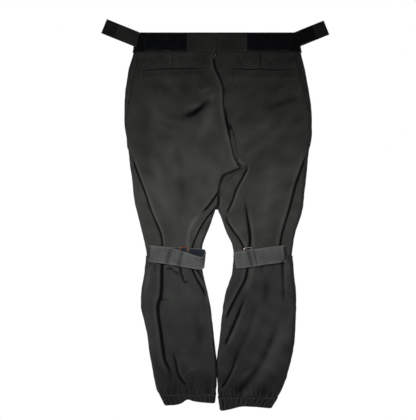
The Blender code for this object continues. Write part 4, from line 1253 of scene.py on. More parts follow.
@dataclass
class LowerLeg:
    """One lower leg, from the strap to the cuff: a back and a front panel."""

    shell: Shell
    finishes: Finishes

    def relief(self, front: bool, bottom: float) -> Relief:
        """Returns its folds, the pleats under the strap and the gathers above the cuff."""
        side = self.shell.side

        def drawn_in(x: Array, z: Array) -> Array:
            """Cosines across the leg that die out down from the strap and up from the cuff."""
            wander = 1.4 * soft_noise(x, z, 0.06, 71 + side.value)
            low = np.exp(-(z - bottom) / (15 * MM))
            narrow = np.cos(math.tau * x / (9.5 * MM) + wander)
            gather = narrow + 0.7 * np.cos(math.tau * x / (15 * MM) - wander)
            high = np.exp(-(KNEE - z) / (26 * MM))
            pleat = np.cos(math.tau * x / (27 * MM) + 1.5 * wander)
            return (0.85 * low * gather + 0.9 * high * pleat) * MM

        folds = tuple(
            Fold(((side.value * x, -604), (side.value * (x + lean), -680)), 1.8, 6, shade=0.4,
                 ends=(0.02, 0.7))
            for x, lean in ((70, -10), (110, 4), (150, 12))
        )
        return Relief(folds if front else LOWER_FOLDS, 81 + side.value, extra=drawn_in)

    def build(self) -> None:
        """Makes both panels; they meet in the middle of the inseam and of the outer edge."""
        word, shell = self.shell.side.word, self.shell
        for face, pitch in (("back", 2.4), ("front", 3.2)):
            source, front = f"lower_leg_{face}_{word}", face == "front"
            low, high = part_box(source)
            sewn(
                f"{face}_shin_cloth_{word}",
                Surface(shell, self.relief(front, low[2]), Wrap.BOTH, front=front),
                (high[2], low[2]), shell.inseam, shell.outseam, self.finishes.lower_twill,
                [source], [f"{face}_cloth_{word}"], pitch=pitch * MM,
                edges=Edges(1.2 * MM, 1.2 * MM, 0.5 * MM, 1.6 * MM),
            )


@dataclass
class Cuff:
    """The gathered casing at the hem, with its elastic inside."""

    shell: Shell
    finishes: Finishes
    columns: int = 150  # on each face
    gathers: tuple[int, ...] = (27, 34, 45)  # waves round the cuff
    fullness: float = 1.15  # the cloth's flat length for each length of gathered cuff

    def ring(self, z: Array, inset: float) -> tuple[Array, Array, Array]:
        """Returns closed rows of points round the leg, their normals and their angle round it."""
        share = np.linspace(0, 1, self.columns, endpoint=False)
        heights = np.repeat(z[:, None], self.columns, 1)
        start, stop = self.shell.inseam(heights), self.shell.outseam(heights)
        parts = []
        for flip, t in ((1, share), (-1, 1 - share)):
            points, normals = self.shell.place(start + (stop - start) * t, heights, Wrap.BOTH)
            parts.append((points * (1, flip, 1), normals * (1, flip, 1)))
        points, normals = (np.concatenate(pair, 1) for pair in zip(*parts))
        angle = np.linspace(0, math.tau, 2 * self.columns, endpoint=False)[None] + 0 * points[..., 0]
        return points - normals * inset, normals, angle

    def gather(self, angle: Array, down: Array) -> Array:
        """Returns the height of the gathers: whole numbers of waves round the cuff."""
        rng = np.random.default_rng(90 + self.shell.side.value)
        total = sum(np.cos(k * angle + rng.uniform(0, math.tau)) for k in self.gathers)
        lean = np.cos(self.gathers[0] * angle + 5 * down)
        return (0.5 * total + 0.5 * lean) * (0.55 + 0.45 * np.sin(math.pi * np.clip(down, 0, 1))) * MM

    def sleeve(
        self, name: str, source: str, top: float, inset: float, thickness: float, finish: Finish, share: float
    ) -> None:
        """Makes a gathered sleeve whose bottom follows the uneven hem.

        Args:
            name: The piece's name.
            source: The frame node that it stands for.
            top: The height of its top edge.
            inset: How far it lies inside the leg's surface.
            thickness: Of the cloth.
            finish: Its material.
            share: How much of the cuff's height it takes up.
        """
        side = self.shell.side
        down = spread(26, 0.7)
        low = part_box(f"cuff_casing_{side.word}")[0][2]
        points, normals, angle = self.ring(top + (low - top) * down * 0.98, inset)
        hem_x, hem_z = np.array(sorted(HEMS[side], key=lambda place: abs(place[0])), float).T * MM
        bottom = hermite(np.abs(points[..., 0]), np.abs(hem_x), hem_z)
        v = down[:, None] * share
        gather = self.gather(angle, v)
        points[..., 2] = top + (bottom - top) * v - 0.5 * np.abs(gather) * v
        length = abs(low - top)
        fall = rolled(down[:, None] * length, 0.8 * MM) + rolled((1 - down[:, None]) * length, 2.2 * MM)
        points = points + normals * (gather - fall)[..., None]
        perimeter = np.linalg.norm(np.diff(points[0], axis=0), axis=1).sum()
        uv = np.stack([angle / math.tau * perimeter, points[..., 2]], -1)
        # Painted highlight on the gathers' crests and painted shade in their troughs; the whole cuff drawn a
        # little darker
        tone = 0.2 * gather / MM - 0.2
        piece = slab(name, points, points - normals * thickness, finish, uv, tone, closed=True)
        stand_in(piece, source)

    def build(self) -> None:
        """Makes the casing, the elastic behind it and the sewing round its top."""
        word, finishes = self.shell.side.word, self.finishes
        casing, elastic = f"cuff_casing_{word}", f"cuff_elastic_{word}"
        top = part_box(casing)[1][2]
        self.sleeve(f"gathered_cuff_{word}", casing, top, 0.0, 1.5 * MM, finishes.lower_twill, 1.0)
        self.sleeve(
            f"elastic_band_{word}", elastic, top - 2 * MM, 3.2 * MM, 1.2 * MM, finishes.elastic, 0.8
        )
        points, normals, angle = self.ring(np.array([top - 3 * MM]), 0.0)
        height = self.gather(angle, np.array([[0.1]]))[0] + 0.1 * MM
        raised = points[0] + normals[0] * height[:, None]
        row = stitches(f"cuff_stitches_{word}", [(raised, normals[0])], finishes.thread)
        attach(row, "trousers")


@dataclass
class Waistband:
    """One half of the waistband: outer strips, lining, loop patch and the strip that holds the tab."""

    shell: Shell
    finishes: Finishes
    proud: float = 0.8 * MM  # how far the band stands off the seat
    thickness: float = 2.4 * MM
    lining_thickness: float = 0.8 * MM
    lining_lift: float = -2.0 * MM
    fly_gap: float = 34.6 * MM  # where the front lining starts, past the fly

    def strip(self, lining: bool, front: bool) -> Piece:
        """Makes a strip from the middle to the side seam, of the band's cloth or its lining."""
        shell, face, word = self.shell, "front" if front else "back", self.shell.side.word
        relief = Relief(
            seed=120 + shell.side.value + front, swell=0.5 * MM, crumple=0.25 * MM,
            extra=puckers(BAND_BOTTOM + 4 * MM, 9 * MM, 0.2 * MM, 8 * MM),
        )
        surface = Surface(shell, relief, lift=self.lining_lift if lining else self.proud, front=front)
        return sewn(
            f"waistband_{'lining' if lining else 'cloth'}_{face}_{word}", surface,
            (0.0, BAND_BOTTOM), level(self.fly_gap if lining and front else 0.0), shell.outseam,
            self.finishes.lining if lining else self.finishes.band_twill,
            [f"band_lining_{face}_{word}" if lining else f"waistband_{face}_{word}"], [],
            edges=Edges(0.4 * MM, 0.8 * MM, 1.3 * MM, 0.9 * MM),
            thickness=self.lining_thickness if lining else self.thickness,
        )

    def sewing(self) -> None:
        """Lays the rows of stitches along the bottom edge, across the back and round the loop patch."""
        side = self.shell.side
        relief = Relief(seed=120 + side.value, swell=0.5 * MM)
        surface = Surface(self.shell, relief, lift=self.proud + 0.35 * MM)
        low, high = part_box(f"loop_patch_{side.word}")
        near, far = sorted((abs(low[0]), abs(high[0])))
        across = np.linspace(3 * MM, self.shell.sizes(np.array([-0.03]))[1][0], 90)
        rows = [surface.at(across, np.full(90, BAND_BOTTOM + 2.2 * MM))[:2]]
        upright = np.linspace(BAND_BOTTOM + 2 * MM, -2 * MM, 30)
        for x in (near - 2.5 * MM, far + 2 * MM, 7 * MM):
            rows.append(surface.at(np.full(30, x), upright)[:2])
        border = 2.2 * MM
        for z in (low[2] + border, high[2] - border):
            x = np.linspace(near + border, far - border, 60) * side.value
            rows.append(plane_row(x, low[1] - 0.2 * MM, z))
        attach(stitches(f"waistband_stitches_{side.word}", rows, self.finishes.thread), "trousers")

    def root_strip(self) -> None:
        """Makes the doubled strip in the side seam that the tab folds on."""
        word = self.shell.side.word
        source = f"tab_root_{word}"
        low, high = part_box(source)
        relief = Relief(seed=140, swell=0.2 * MM, crumple=0.15 * MM)
        sewn(
            f"tab_root_cloth_{word}", Surface(self.shell, relief, lift=self.proud + 1.6 * MM),
            (high[2], low[2]), level(min(abs(low[0]), abs(high[0]))), self.shell.outseam,
            self.finishes.edge_twill, [source], [f"waistband_cloth_back_{word}"],
            edges=Edges(0.7 * MM, 0.7 * MM, 0.7 * MM, 0.7 * MM), pitch=2.0 * MM,
        )

    def build(self) -> None:
        """Builds the band's pieces; on the left also the end that lies behind the button."""
        word, finishes = self.shell.side.word, self.finishes
        for lining in (False, True):
            for front in (False, True):
                self.strip(lining, front)
        laid_flat(
            f"loop_tape_{word}", f"loop_patch_{word}", finishes.pile, f"waistband_cloth_back_{word}",
            edge=1.2 * MM, wrinkle=0.3 * MM, seed=7,
        )
        self.sewing()
        self.root_strip()
        if self.shell.side is Side.LEFT:
            laid_flat(
                "waistband_underlap_cloth", "band_underlap", finishes.band_twill,
                "waistband_cloth_front_left", facing=1,
            )


@dataclass
class WaistTab:
    """The tab that folds over onto the loop patch, with its hook tape."""

    side: Side
    finishes: Finishes

    def build(self) -> None:
        """Makes the tab, the hook tape and the stitches along three of its edges."""
        word, finishes = self.side.word, self.finishes
        source, tab = f"waist_tab_{word}", f"tab_cloth_{word}"
        finish = finishes.band_twill if self.side is Side.LEFT else finishes.edge_twill
        laid_flat(
            tab, source, finish, f"tab_root_cloth_{word}", "stretched", edge=1.2 * MM,
            wrinkle=0.35 * MM, seed=9, belly=0.4 * MM,
        )
        laid_flat(
            f"tab_hook_tape_{word}", f"tab_hook_{word}", finishes.hooks, tab, edge=0.6 * MM,
            wrinkle=0.1 * MM,
        )
        corners = quad(source)
        inset = corners + (corners.mean(0) - corners) * np.array([0.05, 0.12])
        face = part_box(source)[0][1] - 0.1 * MM
        edges = (np.linspace(inset[a], inset[b], 40) for a, b in ((0, 1), (1, 2), (3, 2)))
        rows = [plane_row(line[:, 0], face, line[:, 1]) for line in edges]
        attach(stitches(f"tab_stitches_{word}", rows, finishes.thread), source)


class Welt:
    """A welt pocket on the seat: its lip, its box-stitched ends and its bag."""

    COLUMNS, ROWS = 110, 14
    HEIGHT = 20 * MM
    POUT = 1.5 * MM  # how far the lip stands off the seat
    MOUTH = 6 * MM  # height of the dark strip in the pocket's mouth, painted shade of the opening

    def __init__(self, shell: Shell, finishes: Finishes) -> None:
        """Reads the lip's corners and the cloth that it lies on."""
        self.side, self.finishes = shell.side, finishes
        corners = np.array(WELTS[self.side], float) * MM
        self.outer_top, self.inner_top, self.outer_low, self.inner_low = corners
        self.surface = Surface(shell, Relief(BACK_FOLDS, 11 + self.side.value, extra=seat_puckers))

    def wander(self, x: Array) -> Array:
        """Returns how far the lip's upper edge strays from its straight line."""
        return 1.2 * MM * soft_noise(x, 0 * x, 0.07, 150 + self.side.value)

    def lip(self) -> None:
        """Makes the lip as a strip between the mouth's line and the lower row of sewing."""
        side, word = self.side, self.side.word
        t, v = spread(self.COLUMNS, 0.5)[None, :, None], spread(self.ROWS, 0.7)[:, None, None]
        top = (1 - t) * self.inner_top + t * self.outer_top
        place = (1 - v) * top + v * ((1 - t) * self.inner_low + t * self.outer_low)
        t, v = t[..., 0] + 0 * v[..., 0], v[..., 0] + 0 * t[..., 0]
        x = place[..., 0]
        z = place[..., 1] + self.wander(x) * (1 - v)
        arc = side.value * x
        points, normals, tone = self.surface.at(arc, z)
        rise = 0.9 * MM + self.POUT * np.sin(math.pi * t) ** 0.5 * (1 - v) ** 2
        fall = rolled(v * 18 * MM, 0.7 * MM) + rolled((1 - v) * 18 * MM, 1.0 * MM)
        fall += rolled(t * 160 * MM, 1.0 * MM) + rolled((1 - t) * 160 * MM, 1.0 * MM)
        worn = 0.3 * np.exp(-(((1 - v) / 0.14) ** 2)) + 0.22 * np.exp(-((v / 0.12) ** 2))
        outer = points + normals * (rise - fall)[..., None]
        inner = points + normals * np.minimum(rise - fall - 0.3 * MM, -0.3 * MM)[..., None]
        # Painted shade where the lip's edges turn down; the lip also drawn a little darker overall and paler along
        # its top and bottom edges
        piece = slab(
            f"welt_cloth_{word}", outer, inner, self.finishes.twill, np.stack([arc, z], -1),
            tone - 0.12 + worn - 0.2 * fall / MM,
        )
        stand_in(piece, f"pocket_welt_{word}")

    def mouth(self) -> None:
        """Makes the upper lip that shows in the pocket's mouth: a strip of lining drawn dark, painted shade of the
        opening.
        """
        side, word, inner, outer = self.side, self.side.word, self.inner_top, self.outer_top
        t, v = spread(90, 0.5)[None, :], spread(8)[:, None]
        x = inner[0] + (outer[0] - inner[0]) * t + 0 * v
        z = inner[1] + (outer[1] - inner[1]) * t + self.wander(x)
        z = z + (0.55 - v) * self.MOUTH * np.sin(math.pi * t) ** 0.4
        arc = side.value * x
        points, normals, _ = self.surface.at(arc, z)
        rise = 0.7 * MM * np.sin(math.pi * v) + 0 * t
        # The strip's tone is fixed dark: painted shade of the pocket's opening
        piece = slab(
            f"welt_mouth_{word}", points + normals * (rise + 0.1 * MM)[..., None],
            points - normals * (0.3 * MM), self.finishes.lining, np.stack([arc, z], -1),
            np.full(x.shape, -0.6),
        )
        attach(piece, "trousers")

    def row(self, line: Array, lift: float) -> Row:
        """Lays a row of stitches along a line of (x, z), at a height above the seat."""
        return replace(self.surface, lift=lift).at(self.side.value * line[:, 0], line[:, 1])[:2]

    def sewing(self) -> None:
        """Lays stitches above and under the welt and, in two rows, across each end."""
        down = np.array([0, 1.8 * MM])
        rows = [
            self.row(np.linspace(inner, outer, 100), 0.5 * MM)
            for inner, outer in (
                (self.inner_low - down, self.outer_low - down),
                (self.inner_top + 3 * down, self.outer_top + 3 * down),
            )
        ]
        middle = (self.inner_top[0] + self.outer_top[0]) / 2
        for top, low in ((self.inner_top, self.inner_low), (self.outer_top, self.outer_low)):
            for share in (0.02, 0.05):
                inward = np.array([middle - top[0], 0]) * share
                rows.append(self.row(np.linspace(top, low, 14) + inward, 1.5 * MM))
        piece = stitches(
            f"welt_stitches_{self.side.word}", rows, self.finishes.thread, 3.6 * MM, 2.4 * MM, 0.4 * MM
        )
        attach(piece, "trousers")

    def build(self) -> None:
        """Builds the pocket's pieces."""
        word = self.side.word
        self.lip()
        self.mouth()
        self.sewing()
        laid_flat(
            f"seat_pocket_cloth_{word}", f"back_pocket_bag_{word}", self.finishes.lining,
            f"welt_cloth_{word}", "hung", facing=1, wrinkle=0.6 * MM, seed=3, inset=POCKET_INSET,
        )


@dataclass
class Fly:
    """The fly: its flap, shield, zip tapes, chain, slider, button and the front pocket bags."""

    finishes: Finishes
    margin: float = 4 * MM  # from the flap's edge to its row of stitches

    def cloth(self) -> None:
        """Makes the flat cloth pieces."""
        finishes = self.finishes
        plain = {"edge": 0.4 * MM, "facing": 1, "wrinkle": 0.5 * MM}
        laid_flat("fly_shield_cloth", "fly_shield", finishes.twill, "back_cloth_left", "hung", **plain)
        laid_flat("blank_label", "care_label", finishes.label, "waistband_cloth_back_left", "hung", **plain)
        tape = plain | {"wrinkle": 0.1 * MM}
        bag = plain | {"facing": -1, "inset": -POCKET_INSET}
        for source, name, finish, rests_on, shape in (
            ("zip_tape", "zip_tape_cloth", finishes.tape, "front_cloth", tape),
            ("front_pocket_bag", "front_pocket_cloth", finishes.lining, "waistband_cloth_front", bag),
        ):
            for side in Side:
                on, word = f"{rests_on}_{side.word}", side.word
                laid_flat(f"{name}_{word}", f"{source}_{word}", finish, on, "hung", **shape)

    def flap(self) -> None:
        """Makes the flap over the zip: flat, rolling down where it is sewn, with a curved end."""
        low, high = (np.array(c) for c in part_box("fly_flap"))
        width, length = high[0] - low[0], high[2] - low[2]
        u, v = spread(26)[None, :], spread(60)[:, None]
        corner = width * 0.75
        short = np.clip((v * length - (length - corner)) / corner, 0, 1)
        reach = width * (1 - 0.55 * (1 - np.sqrt(np.maximum(1 - short**2, 0))))
        x = low[0] + reach * u
        z = high[2] - length * v + 0 * u
        root = np.exp(-(u * width / (5 * MM)) ** 2) + 0 * v
        wave = 0.35 * MM * soft_noise(x, z, 0.03, 170)
        thick = 1.6 * MM
        y = high[1] - root * (high[1] - low[1] - thick) + wave
        edge = rolled((1 - u) * width, 1.0 * MM) + rolled(v * length, 0.7 * MM)
        edge = edge + rolled((1 - v) * length, 1.0 * MM)
        outer, inner = (np.stack([x, face, z], -1) for face in (y - edge, y - thick))
        uv = np.stack([x, z], -1)
        # painted shade where the flap's edges turn down
        piece = slab("fly_flap_cloth", outer, inner, self.finishes.twill, uv, -0.2 * edge / MM)
        stand_in(piece, "fly_flap")
        turn = np.linspace(0, math.pi / 2, 20)[1:]
        sewn_x, bend = high[0] - self.margin, low[2] + corner
        across = sewn_x - (width - 12 * MM) * (1 - np.cos(turn))
        x = np.concatenate([np.full(70, sewn_x), across])
        z = np.concatenate([np.linspace(high[2] - 3 * MM, bend, 70), bend - (corner - 6 * MM) * np.sin(turn)])
        row = plane_row(x, high[1] + 0.2 * MM, z, facing=1.0)
        attach(stitches("fly_stitches", [row], self.finishes.thread), "fly_flap")

    def build(self) -> None:
        """Makes the cloth pieces and gives the zip and the button their finishes."""
        self.cloth()
        self.flap()
        finishes = self.finishes
        metal = ("zip_slider", "zip_pull", "zip_stop", "zip_teeth_left", "zip_teeth_right")
        for name, finish in [(m, finishes.dark_metal) for m in metal] + [("waist_button", finishes.button)]:
            for place in frame["nodes"][name].material_slots:
                place.material = finish
            log.info("%s keeps its shape", name)


@dataclass
class KneeStrap:
    """A webbing strap behind the knee, folded back on itself at its inner end, with a wire ring."""

    side: Side
    finishes: Finishes
    thickness: float = 2.0 * MM
    mouth: float = 17 * MM  # how far the free layer's top edge drops near the fold
    gape: float = 9 * MM  # and how far it stands out there
    sag: float = 7 * MM  # how far the whole layer hangs lower there
    perk: float = 5 * MM  # how far the sewn layer turns up towards the fold
    pinches: Points = ((62, 5), (95, 6))  # painted shade of folds across the free layer: mm from the fold, and half width
    tip: float = 2 * MM  # how far short of the sewn end each layer stops
    facing_length: float = 88 * MM

    def __post_init__(self) -> None:
        """Reads the strap's own axes from its joint and its sizes from its nodes."""
        word = self.side.word
        joint = next(j for j in frame["joints"] if j["name"] == f"strap_end_{word}_open")
        axis = np.array(joint["axis"], float)
        self.across = -axis * np.sign(axis[2])  # down the strap's width
        self.along = np.array([-self.side.value * self.across[2], 0.0, abs(self.across[0])])  # outwards
        self.origin = np.array(joint["pos_m"], float)
        points, run, down = self.measured(f"knee_strap_{word}")
        self.inner, self.outer = float(run.min()), float(run.max())
        self.top, self.width = float(down.min()), float(down.max() - down.min())
        self.near, self.far = (abs(v) for v in (points[:, 1].max(), points[:, 1].min()))

    def measured(self, source: str) -> tuple[Array, Array, Array]:
        """Returns a node's points, and how far each lies along and down the strap."""
        points = node_points(source)
        return points, (points - self.origin) @ self.along, (points - self.origin) @ self.across

    def at(self, run: Array, down: Array, y: Array) -> Array:
        """Returns world points from lengths along and across the strap and the distance behind the leg."""
        points = self.origin + run[..., None] * self.along + (self.top + down)[..., None] * self.across
        points[..., 1] = -y
        return points

    def turned_up(self, from_fold: Array, v: Array) -> Array:
        """Returns how far the sewn layer turns up at a distance from the fold."""
        return self.perk * np.exp(-((from_fold / (70 * MM)) ** 2)) * (1 - 0.6 * v)

    def band(self) -> None:
        """Makes the webbing: the sewn layer, a half circle at the fold, and the free layer over it."""
        word = self.side.word
        middle = (self.near + self.far) / 2
        radius = (self.far - self.near) / 2 - self.thickness / 2
        flat = self.outer - self.inner - radius
        turn = math.pi * radius
        total = 2 * flat + turn - 2 * self.tip
        s, v = total * spread(190, 0.2)[None, :], spread(20)[:, None]
        angle = np.clip((s - flat) / turn, 0, 1) * math.pi
        fold_end, over = self.inner + radius, s - flat - turn
        run = np.where(over < 0, fold_end - radius * np.sin(angle), fold_end + over)
        run = np.where(s < flat, self.outer - s, run)
        from_fold = np.maximum(run - self.inner, 0)
        loose = smooth((s - flat) / turn)  # 0 on the sewn layer, 1 on the free one
        open_share = loose * np.exp(-((from_fold / (62 * MM)) ** 2)) * smooth(from_fold / (14 * MM) + 0.25)
        slack = loose * np.exp(-((from_fold / (75 * MM)) ** 2)) * smooth(from_fold / (20 * MM) + 0.4)
        down = v * self.width + self.mouth * open_share * (1 - v) ** 1.5 + self.sag * slack * v
        down = down - (1 - loose) * self.turned_up(from_fold, v)
        dip = np.exp(-(((s - flat - turn / 2) / (7 * MM)) ** 2))
        down = down + 3.5 * MM * (1 - v) ** 2 * dip
        y = middle - radius * np.cos(angle) + self.gape * open_share * (1 - v) ** 1.3
        wave = 0.6 * MM * soft_noise(s + 0 * v, down, 0.05, 200 + self.side.value)
        wave += 0.45 * MM * loose * np.cos(math.tau * s / (21 * MM) + 1.3) * np.exp(-(v * 3) ** 2)
        y = y + wave * (0.3 + 0.7 * loose)
        run = run - 9 * MM * smooth((v - 0.72) / 0.28) * smooth((s - (total - 30 * MM)) / (30 * MM))
        centre = self.at(run + 0 * v, down + 0 * s, y + 0 * v)
        normal = np.cross(np.gradient(centre, axis=0), np.gradient(centre, axis=1))
        normal /= np.linalg.norm(normal, axis=2)[..., None]
        edge = rolled(v * self.width, 0.9 * MM) + rolled((1 - v) * self.width, 0.9 * MM)
        edge = edge + rolled(s + 0 * v, 0.8 * MM) + rolled(total - s, 0.8 * MM)
        half = np.maximum(self.thickness / 2 - 0.8 * edge, 0.25 * MM)[..., None]
        rub = np.exp(-((v / 0.07) ** 2)) + np.exp(-(((1 - v) / 0.07) ** 2))
        # Paler along both rubbed edges; painted highlight on the wave crests and painted shade in the dips
        tone = 0.35 * rub + 0.12 * wave / MM - 0.1
        # painted shade of the folds across the free layer
        for place, reach in self.pinches:
            tone = tone - 0.45 * loose * np.exp(-(((from_fold / MM - place - 6 * v) / reach) ** 2))
        uv = np.stack([s + 0 * v, v * self.width + 0 * s], -1)
        outer, inner = centre + normal * half, centre - normal * half
        piece = slab(f"knee_webbing_{word}", outer, inner, self.finishes.webbing, uv, tone)
        stand_in(piece, f"knee_strap_{word}", f"strap_end_{word}", rides=False)
        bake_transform(piece)

    def facing(self) -> None:
        """Makes the blue-black facing that shows inside the open fold."""
        word = self.side.word
        run = self.inner + 1.5 * MM + self.facing_length * spread(44)[None, :]
        down = 1.2 * MM + (self.width - 2.6 * MM) * spread(18)[:, None]
        run, down = run + 0 * down, down + 0 * run
        down = down - self.turned_up(run - self.inner, down / self.width)
        wave = 0.25 * MM * soft_noise(run, down, 0.03, 220)
        face = self.near + self.thickness + 0.7 * MM + wave
        outer, inner = (self.at(run, down, y) for y in (face, face - 0.6 * MM))
        uv = np.stack([run, down], -1)
        name, finish = f"strap_facing_{word}", self.finishes.strap_lining
        # painted highlight on the wave crests and painted shade in the dips
        piece = slab(name, outer, inner, finish, uv, 0.4 * wave / MM)
        attach(piece, "trousers")

    def ring(self) -> None:
        """Makes the wire ring round the sewn layer: a rounded rectangle of drawn wire."""
        word = self.side.word
        source = f"knee_ring_{word}"
        _, run, down = self.measured(source)
        back, front = (corner[1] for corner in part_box(source))
        radius = (front - back) / 2
        bottom = min(down.max(), self.top + self.width + 1 * MM)  # the free layer hides the bottom bar
        half = np.array([np.ptp(run), bottom - down.min()]) / 2 - radius
        centre = np.array([run.min() + run.max(), down.min() + bottom]) / 2
        corner = 4 * MM
        angle = np.linspace(0, math.pi / 2, 9)
        quarter = np.stack([np.cos(angle), np.sin(angle)], -1) * corner
        path = np.concatenate([
            (half - corner + (quarter if a == b else quarter[::-1])) * (a, b) + centre
            for a, b in ((1, 1), (-1, 1), (-1, -1), (1, -1))
        ])
        world = self.origin + path[:, :1] * self.along + path[:, 1:] * self.across
        world[:, 1] = (front + back) / 2
        finish = self.finishes.copper if self.side is Side.LEFT else self.finishes.nickel
        stand_in(tube(f"wire_ring_{word}", world, np.array([0.0, 1.0, 0.0]), radius, finish), source)

    def keeper(self) -> None:
        """Makes the small loop that holds the ring's bar: a half circle with two feet."""
        word = self.side.word
        source = f"ring_keeper_{word}"
        _, run, down = self.measured(source)
        back, front = (corner[1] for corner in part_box(source))
        middle, half = (run.min() + run.max()) / 2, np.ptp(run) / 2
        t, v = np.linspace(0, math.pi, 22)[None, :], spread(14)[:, None]
        across = down.min() + np.ptp(down) * v + 0 * t
        skins = []
        for shrink in (0.0, 0.9 * MM):
            x = middle - (half - shrink) * np.cos(t) + 0 * v
            skin = self.origin + x[..., None] * self.along + across[..., None] * self.across
            skin[..., 1] = front - (front - back - shrink) * np.sin(t) ** 0.8
            skins.append(skin)
        uv = np.stack([half * t + 0 * v, across], -1)
        loop = slab(f"ring_loop_{word}", skins[0], skins[1], self.finishes.webbing, uv, -0.2 + 0 * across)
        stand_in(loop, source)

    def sewing(self) -> None:
        """Lays the top row of stitches on the free layer and the bar tacks at the sewn end."""
        word, thread = self.side.word, self.finishes.thread
        run = np.linspace(self.inner + 70 * MM, self.outer - 8 * MM, 60)
        row = on_plane(self.at(run, np.full(60, 3.5 * MM), np.full(60, self.far + 0.5 * MM)))
        attach(stitches(f"strap_stitches_{word}", [row], thread), f"strap_end_{word}")
        tacks = [
            on_plane(self.at(
                np.full(6, self.outer + (1 + step) * MM), np.linspace(down - 3 * MM, down + 3 * MM, 6),
                np.full(6, self.near + 0.3 * MM),
            ))
            for down in (4 * MM, self.width - 5 * MM) for step in range(4)
        ]
        attach(stitches(f"strap_tacks_{word}", tacks, thread), "trousers")

    def build(self) -> None:
        """Builds the strap's pieces."""
        word = self.side.word
        for make in (self.band, self.facing, self.ring, self.keeper, self.sewing):
            make()
        laid_flat(
            f"strap_hook_tape_{word}", f"strap_hook_{word}", self.finishes.hooks,
            f"knee_webbing_{word}", facing=1, edge=0.5 * MM,
        )


def hidden_plies(shell: Shell, finishes: Finishes) -> None:
    """Makes the cloth that lies behind the crotch's fold, the centre seam and the end of the fly."""
    crease = across_at(CENTRE_CREASE)
    half = 11 * MM
    for name, front, top, bottom, lift, start, stop in (
        ("crotch_fold_cloth", False, -350, -476, -9, level(-15 * MM), level(86 * MM)),
        ("centre_seam_allowance", False, -49, -352, -2.5, lambda z: crease(z) - half,
         lambda z: crease(z) + half),
        ("front_crotch_ply", True, -322, -476, -9, level(-16 * MM), level(16 * MM)),
        ("fly_end_ply", True, -208, -244, -5.5, level(-13 * MM), level(13 * MM)),
    ):
        surface = Surface(shell, Relief(seed=180), lift=lift * MM, front=front)
        holder = "front_cloth_right" if front else "back_cloth_right"
        rows = (top * MM, bottom * MM)
        sewn(name, surface, rows, start, stop, finishes.twill, [], [holder], "folded")


# The stage ----------------------------------------------------------------------------


@dataclass(frozen=True)
class Lamp:
    """A soft studio light: a rectangle, or a spot with a cone that fades towards its rim."""

    name: str
    place: tuple[float, float, float]
    aim: tuple[float, float, float]
    size: float
    power: float
    cone: float = 0.0  # degrees across; none for a rectangle

    def build(self) -> None:
        """Adds the light, turned to what it lights."""
        data = bpy.data.lights.new(self.name, "SPOT" if self.cone else "AREA")
        data.energy = self.power
        if self.cone:
            data.spot_size, data.spot_blend = math.radians(self.cone), 1.0
            data.shadow_soft_size = self.size / 2
        else:
            data.size = self.size
        aimed(self.name, data, self.place, self.aim)


def aimed(name: str, data: bpy.types.ID, place: Sequence[float], aim: Sequence[float]) -> Piece:
    """Adds a light or camera at a place, looking at another: its -Z along the line between them."""
    item = bpy.data.objects.new(name, data)
    bpy.context.scene.collection.objects.link(item)
    item.location = place
    item.rotation_mode = "QUATERNION"
    item.rotation_quaternion = (Vector(aim) - Vector(place)).to_track_quat("-Z", "Y")
    return item


LAMPS = (
    Lamp("key", (-1.1, -1.5, 0.1), (-0.02, 0, -0.59), 0.4, 150, 30),
    Lamp("fill", (0.9, -1.9, -0.5), (0, 0, -0.5), 0.8, 42, 30),
    Lamp("sky", (0.0, -1.2, 1.3), (0, 0, -0.2), 1.2, 2),
    Lamp("front_fill", (0.8, 2.4, 0.6), (0, 0, -0.5), 1.6, 60),
)


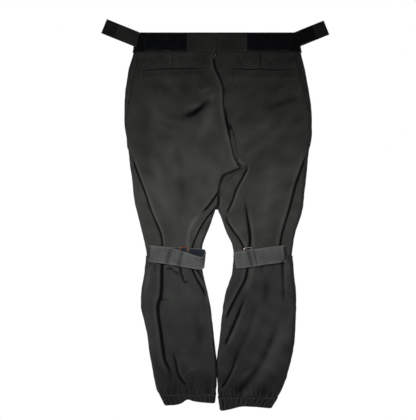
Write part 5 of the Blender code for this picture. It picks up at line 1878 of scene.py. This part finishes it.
@dataclass
class Stage:
    """The studio: a white surround, a pale floor, soft lights and a long lens behind the trousers."""

    lens: float = 100.0
    sensor: float = 36.0
    field: float = 1.1245  # height that the camera takes in at the trousers' back
    centre: tuple[float, float] = (-0.0241, -0.4766)
    ambient: float = 0.11
    floor_low: tuple[float, float, float] = (-2.2, -2.6, -1.32)
    floor_high: tuple[float, float, float] = (2.2, 1.2, -1.3)
    floor_glow: float = 0.35  # keeps the floor pale beyond the lights' reach

    def surround(self) -> None:
        """Makes a world that is white to the camera and dimmer as a light."""
        world = bpy.data.worlds.new("white_surround")
        bpy.context.scene.world = world
        world.use_nodes = True
        tree = world.node_tree
        tree.nodes.clear()
        seen = node(tree, "ShaderNodeLightPath").outputs["Is Camera Ray"]
        strength = node(tree, "ShaderNodeMapRange", {0: seen, 3: self.ambient, 4: 1.0}).outputs[0]
        white = node(tree, "ShaderNodeBackground", {"Color": (1, 1, 1, 1), "Strength": strength})
        node(tree, "ShaderNodeOutputWorld", {"Surface": white.outputs[0]})

    def floor(self) -> None:
        """Makes a plain pale floor below the cuffs, short enough for the white surround to stand behind."""
        (left, near, low), (right, far, high) = self.floor_low, self.floor_high
        points = np.array([
            (x, y, z) for z in (high, low) for y in (near, far) for x in (left, right)
        ])
        paper = Cloth(
            "pale_floor_paper", "#e8e8e6", "#fbfbfa", Weave.PLAIN, rib=0.4, contrast=0.02,
            relief=0.01 * MM,
        ).material()
        shader = next(n for n in paper.node_tree.nodes if n.type == "BSDF_PRINCIPLED")
        shader.inputs["Emission Color"].default_value = (1, 1, 1, 1)
        shader.inputs["Emission Strength"].default_value = self.floor_glow
        show("pale_floor", points, slab_faces(2, 2, False), paper)

    def build(self) -> None:
        """Builds the studio and its camera."""
        scene = bpy.context.scene
        scene.view_settings.view_transform = "Standard"
        self.surround()
        self.floor()
        x, z = self.centre
        data = bpy.data.cameras.new("camera")
        data.lens, data.sensor_width = self.lens, self.sensor
        distance = self.field * self.lens / self.sensor
        scene.camera = aimed("camera", data, (x, float(cad_low[1]) - distance, z), (x, 0, z))
        for lamp in LAMPS:
            lamp.build()


def main() -> None:
    """Builds the trousers from the waist down, then the studio."""
    logging.basicConfig(level=logging.INFO, format="%(message)s")
    finishes = Finishes()
    flatter = {"mouth": 3 * MM, "gape": 2 * MM, "sag": 5 * MM, "perk": 0.0, "pinches": ((36, 5), (50, 2.5))}
    for side in Side:
        shell = Shell(side)
        strap = KneeStrap(side, finishes, **(flatter if side is Side.RIGHT else {}))
        for part in (
            Waistband(shell, finishes), WaistTab(side, finishes), Seat(shell, finishes),
            Welt(shell, finishes), LowerLeg(shell, finishes), Cuff(shell, finishes), strap,
        ):
            part.build()
    hidden_plies(shell, finishes)
    Fly(finishes).build()
    Stage().build()


if __name__ == "__main__":
    main()
